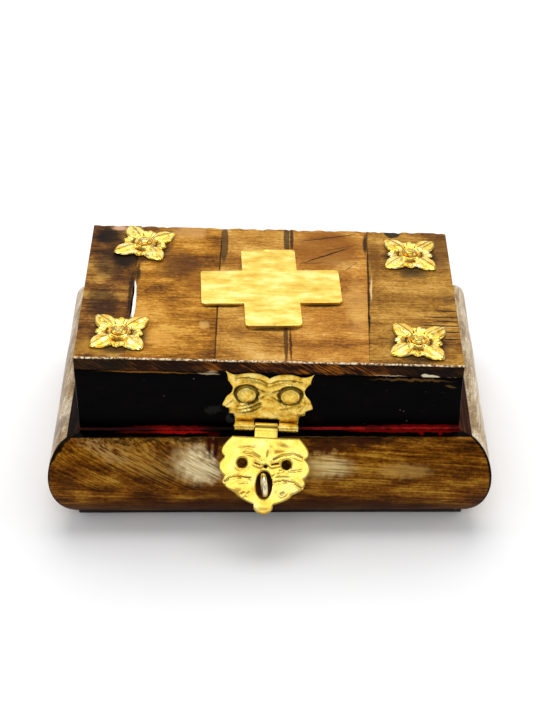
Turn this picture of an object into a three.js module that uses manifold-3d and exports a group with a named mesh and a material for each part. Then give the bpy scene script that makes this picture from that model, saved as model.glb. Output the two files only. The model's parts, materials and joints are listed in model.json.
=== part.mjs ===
// Hinged casket: a flared body faced with bone, a straight lid with a roof of bone slabs,
// and a brass hasp clasp. Millimetres, +Z up, the front faces -Y.
// The origin is the middle of the base board's underside.
import * as THREE from 'three';
import { mergeVertices } from 'three/addons/utils/BufferGeometryUtils.js';
import Module from 'manifold-3d';

const wasm = await Module();
wasm.setup();

// Driving dimensions ------------------------------------------------------------------------

const lidLength = 130;
const lidDepth = 78.5;
const rimHeight = 36.8; // top of the ledge round the lid
const roofHeight = 66.5; // top of the slabs at mid length
const roofPitch = THREE.MathUtils.degToRad(1.9); // the roof drops towards the right end

const baseThickness = 2.4;
const baseReach = 3; // how far the base board stands out past the lid's sides
const wallInset = 5; // inner faces of the body, in from the lid's sides
const boneThickness = 3;
const glueLine = 0.2;
const mitreSeam = 0.12; // taken off each end of a mitred piece

const ledgeReach = 4.2; // the ledge's outer edge
const railThickness = 3;
const shoulder = { reach: 8.1, drop: 1.5 }; // the belly curve's first handle, from the ledge edge
const belly = { reach: 14.7, rise: 11.1 }; // its second handle, from the lid's side and the base
const footReach = 3.9; // where the belly curve meets the base

const feltThickness = 0.8;
const feltProud = 0.35; // felt showing in front of the lid's sides
const lidWall = 4.5;
const slabThickness = 5.1;
const slabSeam = 0.25;
const topBoardThickness = 3;
const clearance = 0.3; // between pieces that are cut or turned against each other
const overcut = 1; // cutting tools run past the piece by this

// Slab joints, from mid length, at the front and at the rear edge.
const slabJoints = [
  { front: -48.1, rear: -47.3 },
  { front: -17.9, rear: -17.6 },
  { front: 6, rear: 7.2 },
  { front: 33.3, rear: 35.7 },
];

const cross = { width: 49, height: 45.1, arm: 19.4, thickness: 0.9, x: 0.4, y: 1.5, turn: 3 };

const rosette = { square: 17.7, core: 7.9, lobe: 0.35, thickness: 0.7, hole: 0.95 };
const rosettePin = { head: 2.5, rise: 1.5, shank: 0.7, length: 5.2 };
// Each rosette's middle, in from the nearest end and side of the lid, and its turn in degrees.
const rosettes = [
  { name: 'front_left', end: -1, side: -1, inEnd: 14.2, inSide: 13.4, turn: -3 },
  { name: 'rear_left', end: -1, side: 1, inEnd: 19.5, inSide: 12, turn: -14 },
  { name: 'rear_right', end: 1, side: 1, inEnd: 14.2, inSide: 15.4, turn: -1.5 },
  { name: 'front_right', end: 1, side: -1, inEnd: 14.6, inSide: 12, turn: -6 },
];

const clasp = {
  x: -1, // knuckle middle, from mid length
  rise: 2.7, // knuckle axis above the ledge
  turn: THREE.MathUtils.degToRad(3.7), // nailed on a little askew
  plate: 0.8,
  flap: 0.7,
  knuckle: 1.7, // outer radius
  step: 0.6, // the flap's strap steps out by this, to ride over the belly
  stand: 0.2, // between the knuckles and the lid wall
  bore: 0.95,
  pin: 0.8,
  centre: 7.8, // length of the flap's knuckle
  end: 6.6, // length of each plate knuckle
  seam: 0.3, // between knuckles
  pinProud: 0.3, // pin beyond the outer knuckles
  nailX: 7.4,
  nailRise: 12.75,
};
const claspNail = { head: 3.4, rise: 1.2, shank: 0.8, length: 3.6, hole: 1.1 };
const slot = { drop: 19.9, halfWidth: 2.9, halfHeight: 4.75 };
const flapClearance = 0.3; // from the closed flap to the belly
const eye = { ring: 3.2, wire: 1, shank: 1, inWood: 9, hole: 1.3, out: 0.3 };

const hinge = {
  inEnd: 31, // middle of each rear hinge, in from the lid's end
  width: 18,
  leaf: 0.8,
  margin: 0.5, // lid wall left inside the leaf
  knuckle: 1.2,
  stand: 0.2, // between the knuckles and the lid wall
  bore: 0.6,
  pin: 0.5,
  seam: 0.3,
  nailSpan: 10,
};
const hingeNail = { head: 1.1, rise: 0.25, shank: 0.5, length: 4.6, hole: 0.75 };

// Worked out from them ----------------------------------------------------------------------

const halfLength = lidLength / 2;
const halfDepth = lidDepth / 2;
const lidBase = rimHeight + feltThickness;
const seatHeight = roofHeight - slabThickness - clearance; // top of the lid walls at mid length
const railBase = rimHeight - railThickness;
const axisReach = clasp.knuckle + clasp.stand; // clasp axis, out from the lid wall
const claspHeight = rimHeight + clasp.rise;
const hingeReach = hinge.knuckle + hinge.stand; // rear hinge axis, out from the lid wall
const hingeHeight = rimHeight + feltThickness / 2;
const leafReach = lidWall - hinge.margin; // leaf depth under the lid wall
const compartment = { x: halfLength - wallInset, y: halfDepth - wallInset };

const bellyCurve = new THREE.CubicBezierCurve(
  new THREE.Vector2(ledgeReach, rimHeight),
  new THREE.Vector2(ledgeReach + shoulder.reach, rimHeight - shoulder.drop),
  new THREE.Vector2(belly.reach, baseThickness + belly.rise),
  new THREE.Vector2(footReach, baseThickness),
);
const bellySteps = 12;

const finish = (color, roughness, metalness) =>
  new THREE.MeshStandardMaterial({ color, roughness, metalness });
const finishes = {
  bone: finish(0x9a6a38, 0.35, 0),
  darkBone: finish(0x6b4220, 0.4, 0),
  honeyBone: finish(0xb98a52, 0.35, 0),
  black: finish(0x14100d, 0.3, 0),
  brownWood: finish(0x4a2a14, 0.45, 0),
  rawWood: finish(0xb58d5f, 0.8, 0),
  felt: finish(0x8c1512, 0.95, 0),
  brass: finish(0xd9aa3c, 0.3, 1),
  paleBrass: finish(0xc9a551, 0.45, 1),
};

const box = new THREE.Group();
const add = (parent, name, geometry, material) => {
  const mesh = new THREE.Mesh(geometry, material);
  mesh.name = name;
  parent.add(mesh);
  return mesh;
};

// Solid modelling helpers -------------------------------------------------------------------

const toSolid = (geometry) => {
  const bare = geometry.clone();
  bare.deleteAttribute('normal');
  bare.deleteAttribute('uv');
  const merged = mergeVertices(bare, 1e-4);
  return new wasm.Manifold(new wasm.Mesh({
    numProp: 3,
    vertProperties: Float32Array.from(merged.attributes.position.array),
    triVerts: Uint32Array.from(merged.index.array),
  }));
};

const toGeometry = (solid) => {
  const mesh = solid.getMesh();
  const geometry = new THREE.BufferGeometry();
  geometry.setAttribute('position', new THREE.BufferAttribute(mesh.vertProperties, 3));
  geometry.setIndex(new THREE.BufferAttribute(mesh.triVerts, 1));
  geometry.computeVertexNormals();
  return geometry;
};

const cut = (geometry, tools) => toGeometry(
  tools.reduce((solid, tool) => solid.subtract(toSolid(tool)), toSolid(geometry)),
);
const join = (geometries) => geometries.map(toSolid).reduce((all, one) => all.add(one));

// A box given by its low and high corners.
const block = (low, high) => {
  const size = high.map((value, i) => value - low[i]);
  const middle = high.map((value, i) => (value + low[i]) / 2);
  return new THREE.BoxGeometry(...size).translate(...middle);
};

const shapeOf = (points) => new THREE.Shape(points.map(([x, y]) => new THREE.Vector2(x, y)));

// An outline drawn across and up, as a plate whose back lies at y = 0 and whose face is at -y.
const upright = (shape, thickness, curveSegments = 6) =>
  new THREE.ExtrudeGeometry(shape, { depth: thickness, bevelEnabled: false, curveSegments })
    .rotateX(Math.PI / 2);

// A flat plate lying on z = 0.
const flat = (shape, thickness, curveSegments = 6) =>
  new THREE.ExtrudeGeometry(shape, { depth: thickness, bevelEnabled: false, curveSegments });

// A section drawn back and up, run along x.
const alongX = (shape, length) =>
  new THREE.ExtrudeGeometry(shape, { depth: length, bevelEnabled: false })
    .rotateX(Math.PI / 2).rotateZ(Math.PI / 2).translate(-length / 2, 0, 0);

const rodX = (radius, from, to, segments = 14) =>
  new THREE.CylinderGeometry(radius, radius, to - from, segments)
    .rotateZ(Math.PI / 2).translate((from + to) / 2, 0, 0);
const rodY = (radius, from, to, segments = 12) =>
  new THREE.CylinderGeometry(radius, radius, to - from, segments)
    .translate(0, (from + to) / 2, 0);
const rodZ = (radius, from, to, segments = 12) =>
  new THREE.CylinderGeometry(radius, radius, to - from, segments)
    .rotateX(Math.PI / 2).translate(0, 0, (from + to) / 2);

// A domed nail whose head rests on z = 0 and whose shank points down.
const nail = ({ head, rise, shank, length }, steps = 3, segments = 12) => {
  const profile = [[0, -length], [shank, -length + shank], [shank, 0], [head, 0]];
  for (let i = 1; i <= steps; i += 1) {
    const angle = (i / steps) * Math.PI / 2;
    profile.push([i === steps ? 0 : head * Math.cos(angle), rise * Math.sin(angle)]);
  }
  const points = profile.map(([r, z]) => new THREE.Vector2(r, z));
  return new THREE.LatheGeometry(points, segments).rotateX(Math.PI / 2);
};

// The four sides, each as a turn of the front one.
const sides = [
  { name: 'front', turn: 0, length: lidLength, depth: lidDepth },
  { name: 'right', turn: 90, length: lidDepth, depth: lidLength },
  { name: 'rear', turn: 180, length: lidLength, depth: lidDepth },
  { name: 'left', turn: 270, length: lidDepth, depth: lidLength },
];

// One mitred length of a section given as [reach out from the lid's side, height].
const mitred = (section, side) => {
  const geometry = new THREE.ExtrudeGeometry(shapeOf(section), { depth: 1, bevelEnabled: false });
  const place = geometry.attributes.position;
  for (let i = 0; i < place.count; i += 1) {
    const reach = place.getX(i);
    const end = place.getZ(i) > 0.5 ? -1 : 1;
    place.setXYZ(
      i,
      end * (side.length / 2 + reach - mitreSeam),
      -(side.depth / 2 + reach),
      place.getY(i),
    );
  }
  return geometry.rotateZ(THREE.MathUtils.degToRad(side.turn));
};

// Points on the belly, a distance in from its outside.
const bellyPoint = (t, inward) => {
  const point = bellyCurve.getPoint(t);
  const way = bellyCurve.getTangent(t);
  return [point.x + way.y * inward, point.y - way.x * inward];
};
const footDirection = bellyCurve.getTangent(1);
const footInner = (inward) => footReach + inward / footDirection.y;

// Clasp and eye places ----------------------------------------------------------------------

const flapBack = clasp.knuckle + clasp.step - clasp.flap; // its inner face, from the axis
const flapStart = [11.4, -3.7]; // the flap's upper corner
// Then the crown and the valley of each lobe of its half outline.
const flapLobes = [
  { crown: [14.7, -8], valley: [13.7, -10.8] },
  { crown: [15.4, -14.2], valley: [13.5, -17.5] },
  { crown: [13.6, -20.2], valley: [9.7, -22.9] },
  { crown: [7.6, -24.8], valley: [3.3, -26.5] },
  { crown: [2.6, -28.8], valley: [0, -29.9] },
];

// The closed flap leans out until its lower end clears the belly.
const leanToClear = () => {
  const limit = flapBack - flapClearance;
  const dip = flapLobes[0].crown[0] * Math.sin(clasp.turn);
  let lean = 0;
  const clears = (angle) => bellyCurve.getPoints(60).every((point) => (
    (point.x - axisReach) * Math.cos(angle)
      + (point.y - claspHeight + dip) * Math.sin(angle) <= limit
  ));
  while (!clears(lean)) lean += THREE.MathUtils.degToRad(0.5);
  return lean;
};
const flapLean = leanToClear();

const claspGroup = new THREE.Group();
claspGroup.position.set(clasp.x, -halfDepth, claspHeight);
claspGroup.rotation.y = clasp.turn;
const flapGroup = new THREE.Group();
flapGroup.position.set(0, -axisReach, 0);
flapGroup.rotation.x = -flapLean;
claspGroup.add(flapGroup);
box.add(claspGroup);
claspGroup.updateMatrixWorld(true);

const slotMiddle = flapGroup.localToWorld(
  new THREE.Vector3(0, -flapBack - clasp.flap / 2 - eye.out, -slot.drop),
);

// Body --------------------------------------------------------------------------------------

const makeBase = () => {
  const x = halfLength + baseReach;
  const y = halfDepth + baseReach;
  add(box, 'base_board', block([-x, -y, 0], [x, y, baseThickness]), finishes.brownWood);
};

const eyeHole = () => {
  const rod = rodY(eye.hole, slotMiddle.y, slotMiddle.y + eye.ring + eye.inWood + clearance);
  return rod.translate(slotMiddle.x, 0, slotMiddle.z);
};

const hingeXs = [-(halfLength - hinge.inEnd), halfLength - hinge.inEnd];
const nailXs = hingeXs.flatMap((x) => [x - hinge.nailSpan / 2, x + hinge.nailSpan / 2]);
const hingeNailHoles = (from, to) => nailXs.map((x) => (
  rodZ(hingeNail.hole, from, to, 8).translate(x, halfDepth - leafReach / 2, 0)
));

const makeBoneAndWalls = () => {
  const inner = [];
  const glued = [];
  for (let i = bellySteps - 1; i > 0; i -= 1) {
    inner.push(bellyPoint(i / bellySteps, boneThickness));
    glued.push(bellyPoint(i / bellySteps, boneThickness + glueLine));
  }
  const outer = bellyCurve.getPoints(bellySteps).map((point) => [point.x, point.y]);
  const boneSection = [
    ...outer,
    [footInner(boneThickness), baseThickness],
    ...inner,
    [ledgeReach, railBase],
  ];
  const wallSection = [
    [-wallInset, railBase],
    [-wallInset, baseThickness],
    [footInner(boneThickness + glueLine), baseThickness],
    ...glued,
    [ledgeReach - glueLine, railBase],
  ];
  sides.forEach((side) => {
    let bone = mitred(boneSection, side);
    let wall = mitred(wallSection, side);
    if (side.name === 'front') {
      bone = cut(bone, [eyeHole()]);
      wall = cut(wall, [eyeHole()]);
    }
    if (side.name === 'rear') {
      wall = cut(wall, hingeNailHoles(rimHeight - hingeNail.length - clearance, rimHeight));
    }
    add(box, `bone_${side.name}`, bone, finishes.honeyBone);
    add(box, `wall_${side.name}`, wall, finishes.rawWood);
  });
};

const makeRails = () => {
  const section = [
    [-wallInset, rimHeight],
    [-wallInset, railBase],
    [ledgeReach, railBase],
    [ledgeReach, rimHeight],
  ];
  const pockets = hingeXs.map((x) => block(
    [
      x - hinge.width / 2 - clearance,
      halfDepth - leafReach - clearance,
      hingeHeight - hinge.knuckle - clearance,
    ],
    [
      x + hinge.width / 2 + clearance,
      halfDepth + hingeReach + hinge.knuckle + clearance,
      rimHeight + overcut,
    ],
  ));
  sides.forEach((side) => {
    let rail = mitred(section, side);
    if (side.name === 'rear') {
      rail = cut(rail, [...pockets, ...hingeNailHoles(railBase - overcut, rimHeight)]);
    }
    const colour = side.name === 'front' ? finishes.black : finishes.brownWood;
    add(box, `rim_${side.name}`, rail, colour);
  });
};

const makeFelts = () => {
  const front = halfDepth + feltProud;
  const end = halfLength + feltProud;
  const low = rimHeight;
  const high = lidBase;
  const inX = compartment.x;
  const inY = compartment.y;
  const rearHalf = hingeXs[1] - hinge.width / 2 - 2 * clearance;
  add(box, 'felt_front', block([-end, -front, low], [end, -inY, high]), finishes.felt);
  add(box, 'felt_left', block([-end, -inY, low], [-inX, halfDepth, high]), finishes.felt);
  add(box, 'felt_right', block([inX, -inY, low], [end, halfDepth, high]), finishes.felt);
  const rear = block([-rearHalf, inY, low], [rearHalf, halfDepth, high]);
  add(box, 'felt_rear', rear, finishes.felt);
};

const makeBodyLining = () => {
  const { x, y } = compartment;
  const shell = block([-x, -y, baseThickness], [x, y, rimHeight]);
  const hollow = block(
    [-x + feltThickness, -y + feltThickness, baseThickness + feltThickness],
    [x - feltThickness, y - feltThickness, rimHeight + overcut],
  );
  add(box, 'body_lining', cut(shell, [hollow]), finishes.felt);
};

const makeEye = () => {
  const ring = new THREE.TorusGeometry(eye.ring, eye.wire, 8, 20).rotateY(Math.PI / 2);
  const shank = rodY(eye.shank, eye.ring, eye.ring + eye.inWood, 10);
  const geometry = toGeometry(join([ring, shank]));
  add(box, 'clasp_eye', geometry, finishes.brass).position.copy(slotMiddle);
};

// Rear hinges -------------------------------------------------------------------------------

const knuckleSpans = () => {
  const half = hinge.width / 2;
  const third = hinge.width / 6;
  return {
    body: [[-half, -third - hinge.seam / 2], [third + hinge.seam / 2, half]],
    lid: [[-third + hinge.seam / 2, third - hinge.seam / 2]],
  };
};

// A leaf about its own axis: the plate runs from the knuckles in under the lid wall.
const hingeLeaf = (spans, low) => {
  const half = hinge.width / 2;
  const inner = -hingeReach - leafReach;
  const clear = -hinge.knuckle - hinge.seam;
  const pieces = [block([-half, inner, low], [half, clear, low + hinge.leaf])];
  spans.forEach(([from, to]) => {
    pieces.push(block([from, clear - overcut, low], [to, 0, low + hinge.leaf]));
    pieces.push(rodX(hinge.knuckle, from, to));
  });
  const holes = [-hinge.nailSpan / 2, hinge.nailSpan / 2].map((x) => (
    rodZ(hingeNail.hole, low - overcut, low + hinge.leaf + overcut, 8)
      .translate(x, -hingeReach - leafReach / 2, 0)
  ));
  const bore = rodX(hinge.bore, -half - overcut, half + overcut);
  return toGeometry([bore, ...holes].reduce(
    (solid, tool) => solid.subtract(toSolid(tool)),
    join(pieces),
  ));
};

const makeHinges = () => {
  const spans = knuckleSpans();
  ['right', 'left'].forEach((name, i) => {
    const group = new THREE.Group();
    group.position.set(hingeXs[1 - i], halfDepth + hingeReach, hingeHeight);
    box.add(group);
    const bodyLow = -hinge.knuckle;
    const lidLow = hinge.knuckle - hinge.leaf;
    const label = `hinge_${name}`;
    add(group, `${label}_body_leaf`, hingeLeaf(spans.body, bodyLow), finishes.brass);
    add(group, `${label}_lid_leaf`, hingeLeaf(spans.lid, lidLow), finishes.brass);
    const pin = rodX(hinge.pin, -hinge.width / 2, hinge.width / 2, 10);
    add(group, `${label}_pin`, pin, finishes.brass);
    [-1, 1].forEach((way) => {
      const number = way < 0 ? 1 : 2;
      const x = (way * hinge.nailSpan) / 2;
      const y = -hingeReach - leafReach / 2;
      const down = nail(hingeNail, 1, 8).translate(x, y, bodyLow + hinge.leaf);
      const up = nail(hingeNail, 1, 8).rotateX(Math.PI).translate(x, y, lidLow);
      add(group, `${label}_body_nail_${number}`, down, finishes.brass);
      add(group, `${label}_lid_nail_${number}`, up, finishes.brass);
    });
  });
};

// Lid ---------------------------------------------------------------------------------------

const seatAt = (x) => seatHeight - Math.tan(roofPitch) * x;

// A board between two x places whose top follows the roof, given from rear to front in y.
const slopedBoard = (fromX, toX, fromY, toY, low, drop = 0) => {
  const shape = shapeOf([
    [fromX, low],
    [toX, low],
    [toX, seatAt(toX) - drop],
    [fromX, seatAt(fromX) - drop],
  ]);
  return upright(shape, fromY - toY).translate(0, fromY, 0);
};

const lidFrontHoles = () => [-clasp.nailX, clasp.nailX].map((x) => {
  const hole = rodY(claspNail.hole, -overcut, claspNail.length + clearance, 10);
  return hole.translate(x, 0, clasp.nailRise)
    .applyMatrix4(claspGroup.matrixWorld);
});

const makeLidWalls = () => {
  const x = halfLength;
  const y = halfDepth;
  const pockets = hingeXs.map((middle) => block(
    [middle - hinge.width / 2 - clearance, y - leafReach - clearance, lidBase - overcut],
    [
      middle + hinge.width / 2 + clearance,
      y + overcut,
      hingeHeight + hinge.knuckle + clearance,
    ],
  ));
  const front = slopedBoard(-x, x, -y + lidWall, -y, lidBase);
  const rear = slopedBoard(-x, x, y, y - lidWall, lidBase);
  const holes = hingeNailHoles(lidBase - overcut, lidBase + hingeNail.length + clearance);
  const left = slopedBoard(-x, -x + lidWall, y - lidWall, -y + lidWall, lidBase);
  const right = slopedBoard(x - lidWall, x, y - lidWall, -y + lidWall, lidBase);
  add(box, 'lid_wall_front', cut(front, lidFrontHoles()), finishes.black);
  add(box, 'lid_wall_rear', cut(rear, [...pockets, ...holes]), finishes.black);
  add(box, 'lid_wall_left', left, finishes.black);
  add(box, 'lid_wall_right', right, finishes.black);
};

const makeLidLining = () => {
  const x = halfLength - lidWall;
  const y = halfDepth - lidWall;
  const drop = topBoardThickness + 3 * clearance;
  const felt = feltThickness;
  const shell = slopedBoard(-x, x, y, -y, lidBase, drop);
  const hollow = slopedBoard(
    -x + felt, x - felt, y - felt, -y + felt, lidBase - overcut, drop + felt,
  );
  add(box, 'lid_lining', cut(shell, [hollow]), finishes.felt);
};

const roof = new THREE.Group();
roof.position.set(0, 0, seatHeight);
roof.rotation.y = roofPitch;
box.add(roof);

const makeTopBoard = () => {
  const x = halfLength - lidWall - clearance;
  const y = halfDepth - lidWall - clearance;
  const board = block([-x, -y, -clearance - topBoardThickness], [x, y, -clearance]);
  add(roof, 'lid_top_board', board, finishes.rawWood);
};

const rosettePlace = ({ end, side, inEnd, inSide }) => (
  new THREE.Vector2(end * (halfLength - inEnd), side * (halfDepth - inSide))
);

const makeSlabs = () => {
  const edges = [
    { front: -halfLength, rear: -halfLength },
    ...slabJoints,
    { front: halfLength, rear: halfLength },
  ];
  const tones = [
    finishes.darkBone, finishes.bone, finishes.honeyBone, finishes.honeyBone, finishes.bone,
  ];
  const pinHoles = rosettes.map((one) => {
    const at = rosettePlace(one);
    return rodZ(rosettePin.shank + clearance, -overcut, slabThickness + overcut, 10)
      .translate(at.x, at.y, 0);
  });
  tones.forEach((tone, i) => {
    const left = i === 0 ? 0 : slabSeam / 2;
    const right = i === tones.length - 1 ? 0 : slabSeam / 2;
    const shape = shapeOf([
      [edges[i].front + left, -halfDepth],
      [edges[i + 1].front - right, -halfDepth],
      [edges[i + 1].rear - right, halfDepth],
      [edges[i].rear + left, halfDepth],
    ]);
    const slab = cut(flat(shape, slabThickness), pinHoles);
    add(roof, `bone_slab_${i + 1}`, slab, tone).position.z = clearance;
  });
};

const ornamentHeight = 2 * clearance + slabThickness;

const makeCross = () => {
  const a = cross.arm / 2;
  const w = cross.width / 2;
  const h = cross.height / 2;
  const shape = shapeOf([
    [-w, -a], [-a, -a], [-a, -h], [a, -h], [a, -a], [w, -a],
    [w, a], [a, a], [a, h], [-a, h], [-a, a], [-w, a],
  ]);
  const plate = add(roof, 'cross_plate', flat(shape, cross.thickness), finishes.paleBrass);
  plate.position.set(cross.x, cross.y, ornamentHeight);
  plate.rotation.z = THREE.MathUtils.degToRad(cross.turn);
};

// Four pointed leaves to the corners of a square, with small lobes between them.
const rosetteShape = () => {
  const steps = 48;
  const tip = rosette.square / Math.SQRT2;
  const points = [];
  for (let i = 0; i < steps; i += 1) {
    const angle = (i / steps) * 2 * Math.PI;
    const leaf = Math.abs(Math.sin(2 * angle)) ** 6;
    const lobe = rosette.lobe * Math.cos(12 * angle);
    const radius = rosette.core + lobe + (tip - rosette.core + rosette.lobe) * leaf;
    points.push([radius * Math.cos(angle), radius * Math.sin(angle)]);
  }
  const shape = shapeOf(points);
  const hole = new THREE.Path();
  hole.absarc(0, 0, rosette.hole, 0, 2 * Math.PI, true);
  shape.holes.push(hole);
  return shape;
};

const makeRosettes = () => {
  rosettes.forEach((one) => {
    const at = rosettePlace(one);
    const plate = flat(rosetteShape(), rosette.thickness, 5);
    const mesh = add(roof, `rosette_${one.name}`, plate, finishes.brass);
    mesh.position.set(at.x, at.y, ornamentHeight);
    mesh.rotation.z = THREE.MathUtils.degToRad(one.turn);
    const pin = add(roof, `rosette_pin_${one.name}`, nail(rosettePin), finishes.brass);
    pin.position.set(at.x, at.y, ornamentHeight + rosette.thickness + clearance / 2);
  });
};

// Clasp -------------------------------------------------------------------------------------

// Half of the owl-eared plate's outline from the notch between its ears down to the knuckles.
const browHalf = [
  [0, 20.1], [4, 22], [8.6, 22.2], [12.4, 20.9], [14.6, 22.3], [15.2, 18.8],
  [12.2, 14.2], [14.1, 11.6], [15, 7.9], [12.6, 5], [12.1, 2.6], [10.5, 1.7],
];

const makeClaspPlate = () => {
  const half = clasp.centre / 2 + clasp.seam;
  const outer = half + clasp.end;
  const side = [...browHalf.slice(1), [outer, 0], [half, 0], [half, clasp.knuckle + clasp.seam]];
  const other = side.map(([x, z]) => [-x, z]).reverse();
  const plate = upright(shapeOf([browHalf[0], ...side, ...other]), clasp.plate);
  const knuckles = [[-outer, -half], [half, outer]].map(([from, to]) => (
    rodX(clasp.knuckle, from, to).translate(0, -axisReach, 0)
  ));
  const webs = [[-outer, -half], [half, outer]].map(([from, to]) => (
    block([from, -axisReach, 0], [to, 0, clasp.knuckle * 0.8])
  ));
  const bore = rodX(clasp.bore, -outer - overcut, outer + overcut).translate(0, -axisReach, 0);
  const nails = [-clasp.nailX, clasp.nailX].map((x) => (
    rodY(claspNail.hole, -clasp.plate - overcut, overcut, 10).translate(x, 0, clasp.nailRise)
  ));
  const geometry = toGeometry([bore, ...nails].reduce(
    (solid, tool) => solid.subtract(toSolid(tool)),
    join([plate, ...knuckles, ...webs]),
  ));
  add(claspGroup, 'clasp_plate', geometry, finishes.paleBrass);
};

const makeClaspNails = () => {
  ['left', 'right'].forEach((name, i) => {
    const geometry = nail(claspNail, 4, 14).rotateX(Math.PI / 2);
    const mesh = add(claspGroup, `clasp_nail_${name}`, geometry, finishes.brass);
    mesh.position.set(i ? clasp.nailX : -clasp.nailX, -clasp.plate, clasp.nailRise);
  });
};

const makeClaspPin = () => {
  const half = clasp.centre / 2 + clasp.seam + clasp.end + clasp.pinProud;
  const pin = rodX(clasp.pin, -half, half, 12).translate(0, -axisReach, 0);
  add(claspGroup, 'clasp_pin', pin, finishes.brass);
};

const flapShape = () => {
  const shape = new THREE.Shape();
  const flip = ([x, y]) => [-x, y];
  const bulge = (from, crown, to) => {
    const handle = crown.map((value, i) => 2 * value - (from[i] + to[i]) / 2);
    shape.quadraticCurveTo(...handle, ...to);
  };
  shape.moveTo(...flip(flapStart));
  let from = flip(flapStart);
  flapLobes.forEach(({ crown, valley }) => {
    bulge(from, flip(crown), flip(valley));
    from = flip(valley);
  });
  for (let i = flapLobes.length - 1; i >= 0; i -= 1) {
    const to = i ? flapLobes[i - 1].valley : flapStart;
    bulge(from, flapLobes[i].crown, to);
    from = to;
  }
  const slotPath = new THREE.Path();
  slotPath.absellipse(0, -slot.drop, slot.halfWidth, slot.halfHeight, 0, 2 * Math.PI, true);
  shape.holes.push(slotPath);
  [[-7.8, -12.7, 1.75], [7.4, -12.8, 1.75], [0.3, -13.6, 0.75]].forEach(([x, y, radius]) => {
    const hole = new THREE.Path();
    hole.absarc(x, y, radius, 0, 2 * Math.PI, true);
    shape.holes.push(hole);
  });
  return shape;
};

const makeFlap = () => {
  const half = clasp.centre / 2;
  const plate = upright(flapShape(), clasp.flap, 5).translate(0, -flapBack, 0);
  const strap = alongX(shapeOf([
    [-flapBack, flapStart[1] - 1],
    [-flapBack, flapStart[1]],
    [-clasp.bore, -0.5],
    [-clasp.knuckle, 0],
    [-flapBack - clasp.flap, flapStart[1] + 1],
    [-flapBack - clasp.flap, flapStart[1] - 1],
  ]), clasp.centre);
  const knuckle = rodX(clasp.knuckle, -half, half);
  const bore = rodX(clasp.bore, -half - overcut, half + overcut);
  const geometry = toGeometry(join([plate, strap, knuckle]).subtract(toSolid(bore)));
  add(flapGroup, 'clasp_flap', geometry, finishes.brass);
};

makeBase();
makeBoneAndWalls();
makeRails();
makeFelts();
makeBodyLining();
makeEye();
makeHinges();
makeLidWalls();
makeLidLining();
makeTopBoard();
makeSlabs();
makeCross();
makeRosettes();
makeClaspPlate();
makeClaspNails();
makeClaspPin();
makeFlap();

export default box;
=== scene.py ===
import json
import math

import bmesh
import bpy
from mathutils import Matrix, Vector, kdtree, noise


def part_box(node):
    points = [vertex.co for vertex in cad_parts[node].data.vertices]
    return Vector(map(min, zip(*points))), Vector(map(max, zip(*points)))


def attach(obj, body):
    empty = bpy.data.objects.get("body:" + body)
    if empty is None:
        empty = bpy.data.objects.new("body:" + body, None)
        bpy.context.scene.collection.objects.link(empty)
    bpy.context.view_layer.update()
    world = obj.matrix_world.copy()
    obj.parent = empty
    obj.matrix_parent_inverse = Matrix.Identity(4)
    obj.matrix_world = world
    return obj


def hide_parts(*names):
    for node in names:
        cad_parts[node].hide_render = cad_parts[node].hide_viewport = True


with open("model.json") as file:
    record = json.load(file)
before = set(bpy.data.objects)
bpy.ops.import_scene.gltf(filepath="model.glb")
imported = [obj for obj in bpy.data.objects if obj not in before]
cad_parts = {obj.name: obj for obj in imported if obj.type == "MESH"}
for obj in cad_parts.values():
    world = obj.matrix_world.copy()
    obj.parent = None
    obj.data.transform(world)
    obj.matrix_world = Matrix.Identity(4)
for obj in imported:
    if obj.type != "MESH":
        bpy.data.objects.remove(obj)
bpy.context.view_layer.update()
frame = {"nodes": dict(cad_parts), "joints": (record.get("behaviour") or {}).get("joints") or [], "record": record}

mm = 0.001  # pieces are shaped in millimetres and placed in metres
record = frame["record"]
bodyOf = {node: body for body, members in record["behaviour"]["bodies"].items() for node in members}
joints = {joint["name"]: joint for joint in frame["joints"]}
print("frame loaded:", len(bodyOf), "nodes")


def span(node):
    low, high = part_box(node)
    return low / mm, high / mm


# Places read off the frame, in millimetres
lidFront = span("lid_wall_front")
lidLeft = span("lid_wall_left")
lidRight = span("lid_wall_right")
halfLength = lidFront[1].x
halfDepth = -lidFront[0].y
rimTop = span("rim_front")[1].z
rimBase = span("rim_front")[0].z
ledge = -span("rim_front")[0].y - halfDepth
wallInset = halfLength - span("body_lining")[1].x
baseTop = span("base_board")[1].z
roofPitch = math.atan2(lidLeft[1].z - lidRight[1].z, lidRight[0].x - lidLeft[0].x)
seat = lidLeft[1].z - math.tan(roofPitch) * halfLength
roofFrame = Matrix.Translation((0, 0, seat)) @ Matrix.Rotation(roofPitch, 4, "Y")
flapAxis = Vector(joints["flap_hinge"]["pos_m"]) / mm
claspTurn = math.asin(joints["flap_hinge"]["axis"][2])
claspFrame = Matrix.Translation((flapAxis.x, -halfDepth, flapAxis.z)) @ Matrix.Rotation(claspTurn, 4, "Y")
claspReach = -halfDepth - flapAxis.y  # the pin's middle, out from the lid wall


# Camera and light

camera = {
    "target": (-1.24, 10.8, 29.55),
    "distance": 592.8,
    "down": 38.48,
    "yaw": -0.615,
    "roll": -0.555,
    "lens": 81.13,
}


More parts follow.
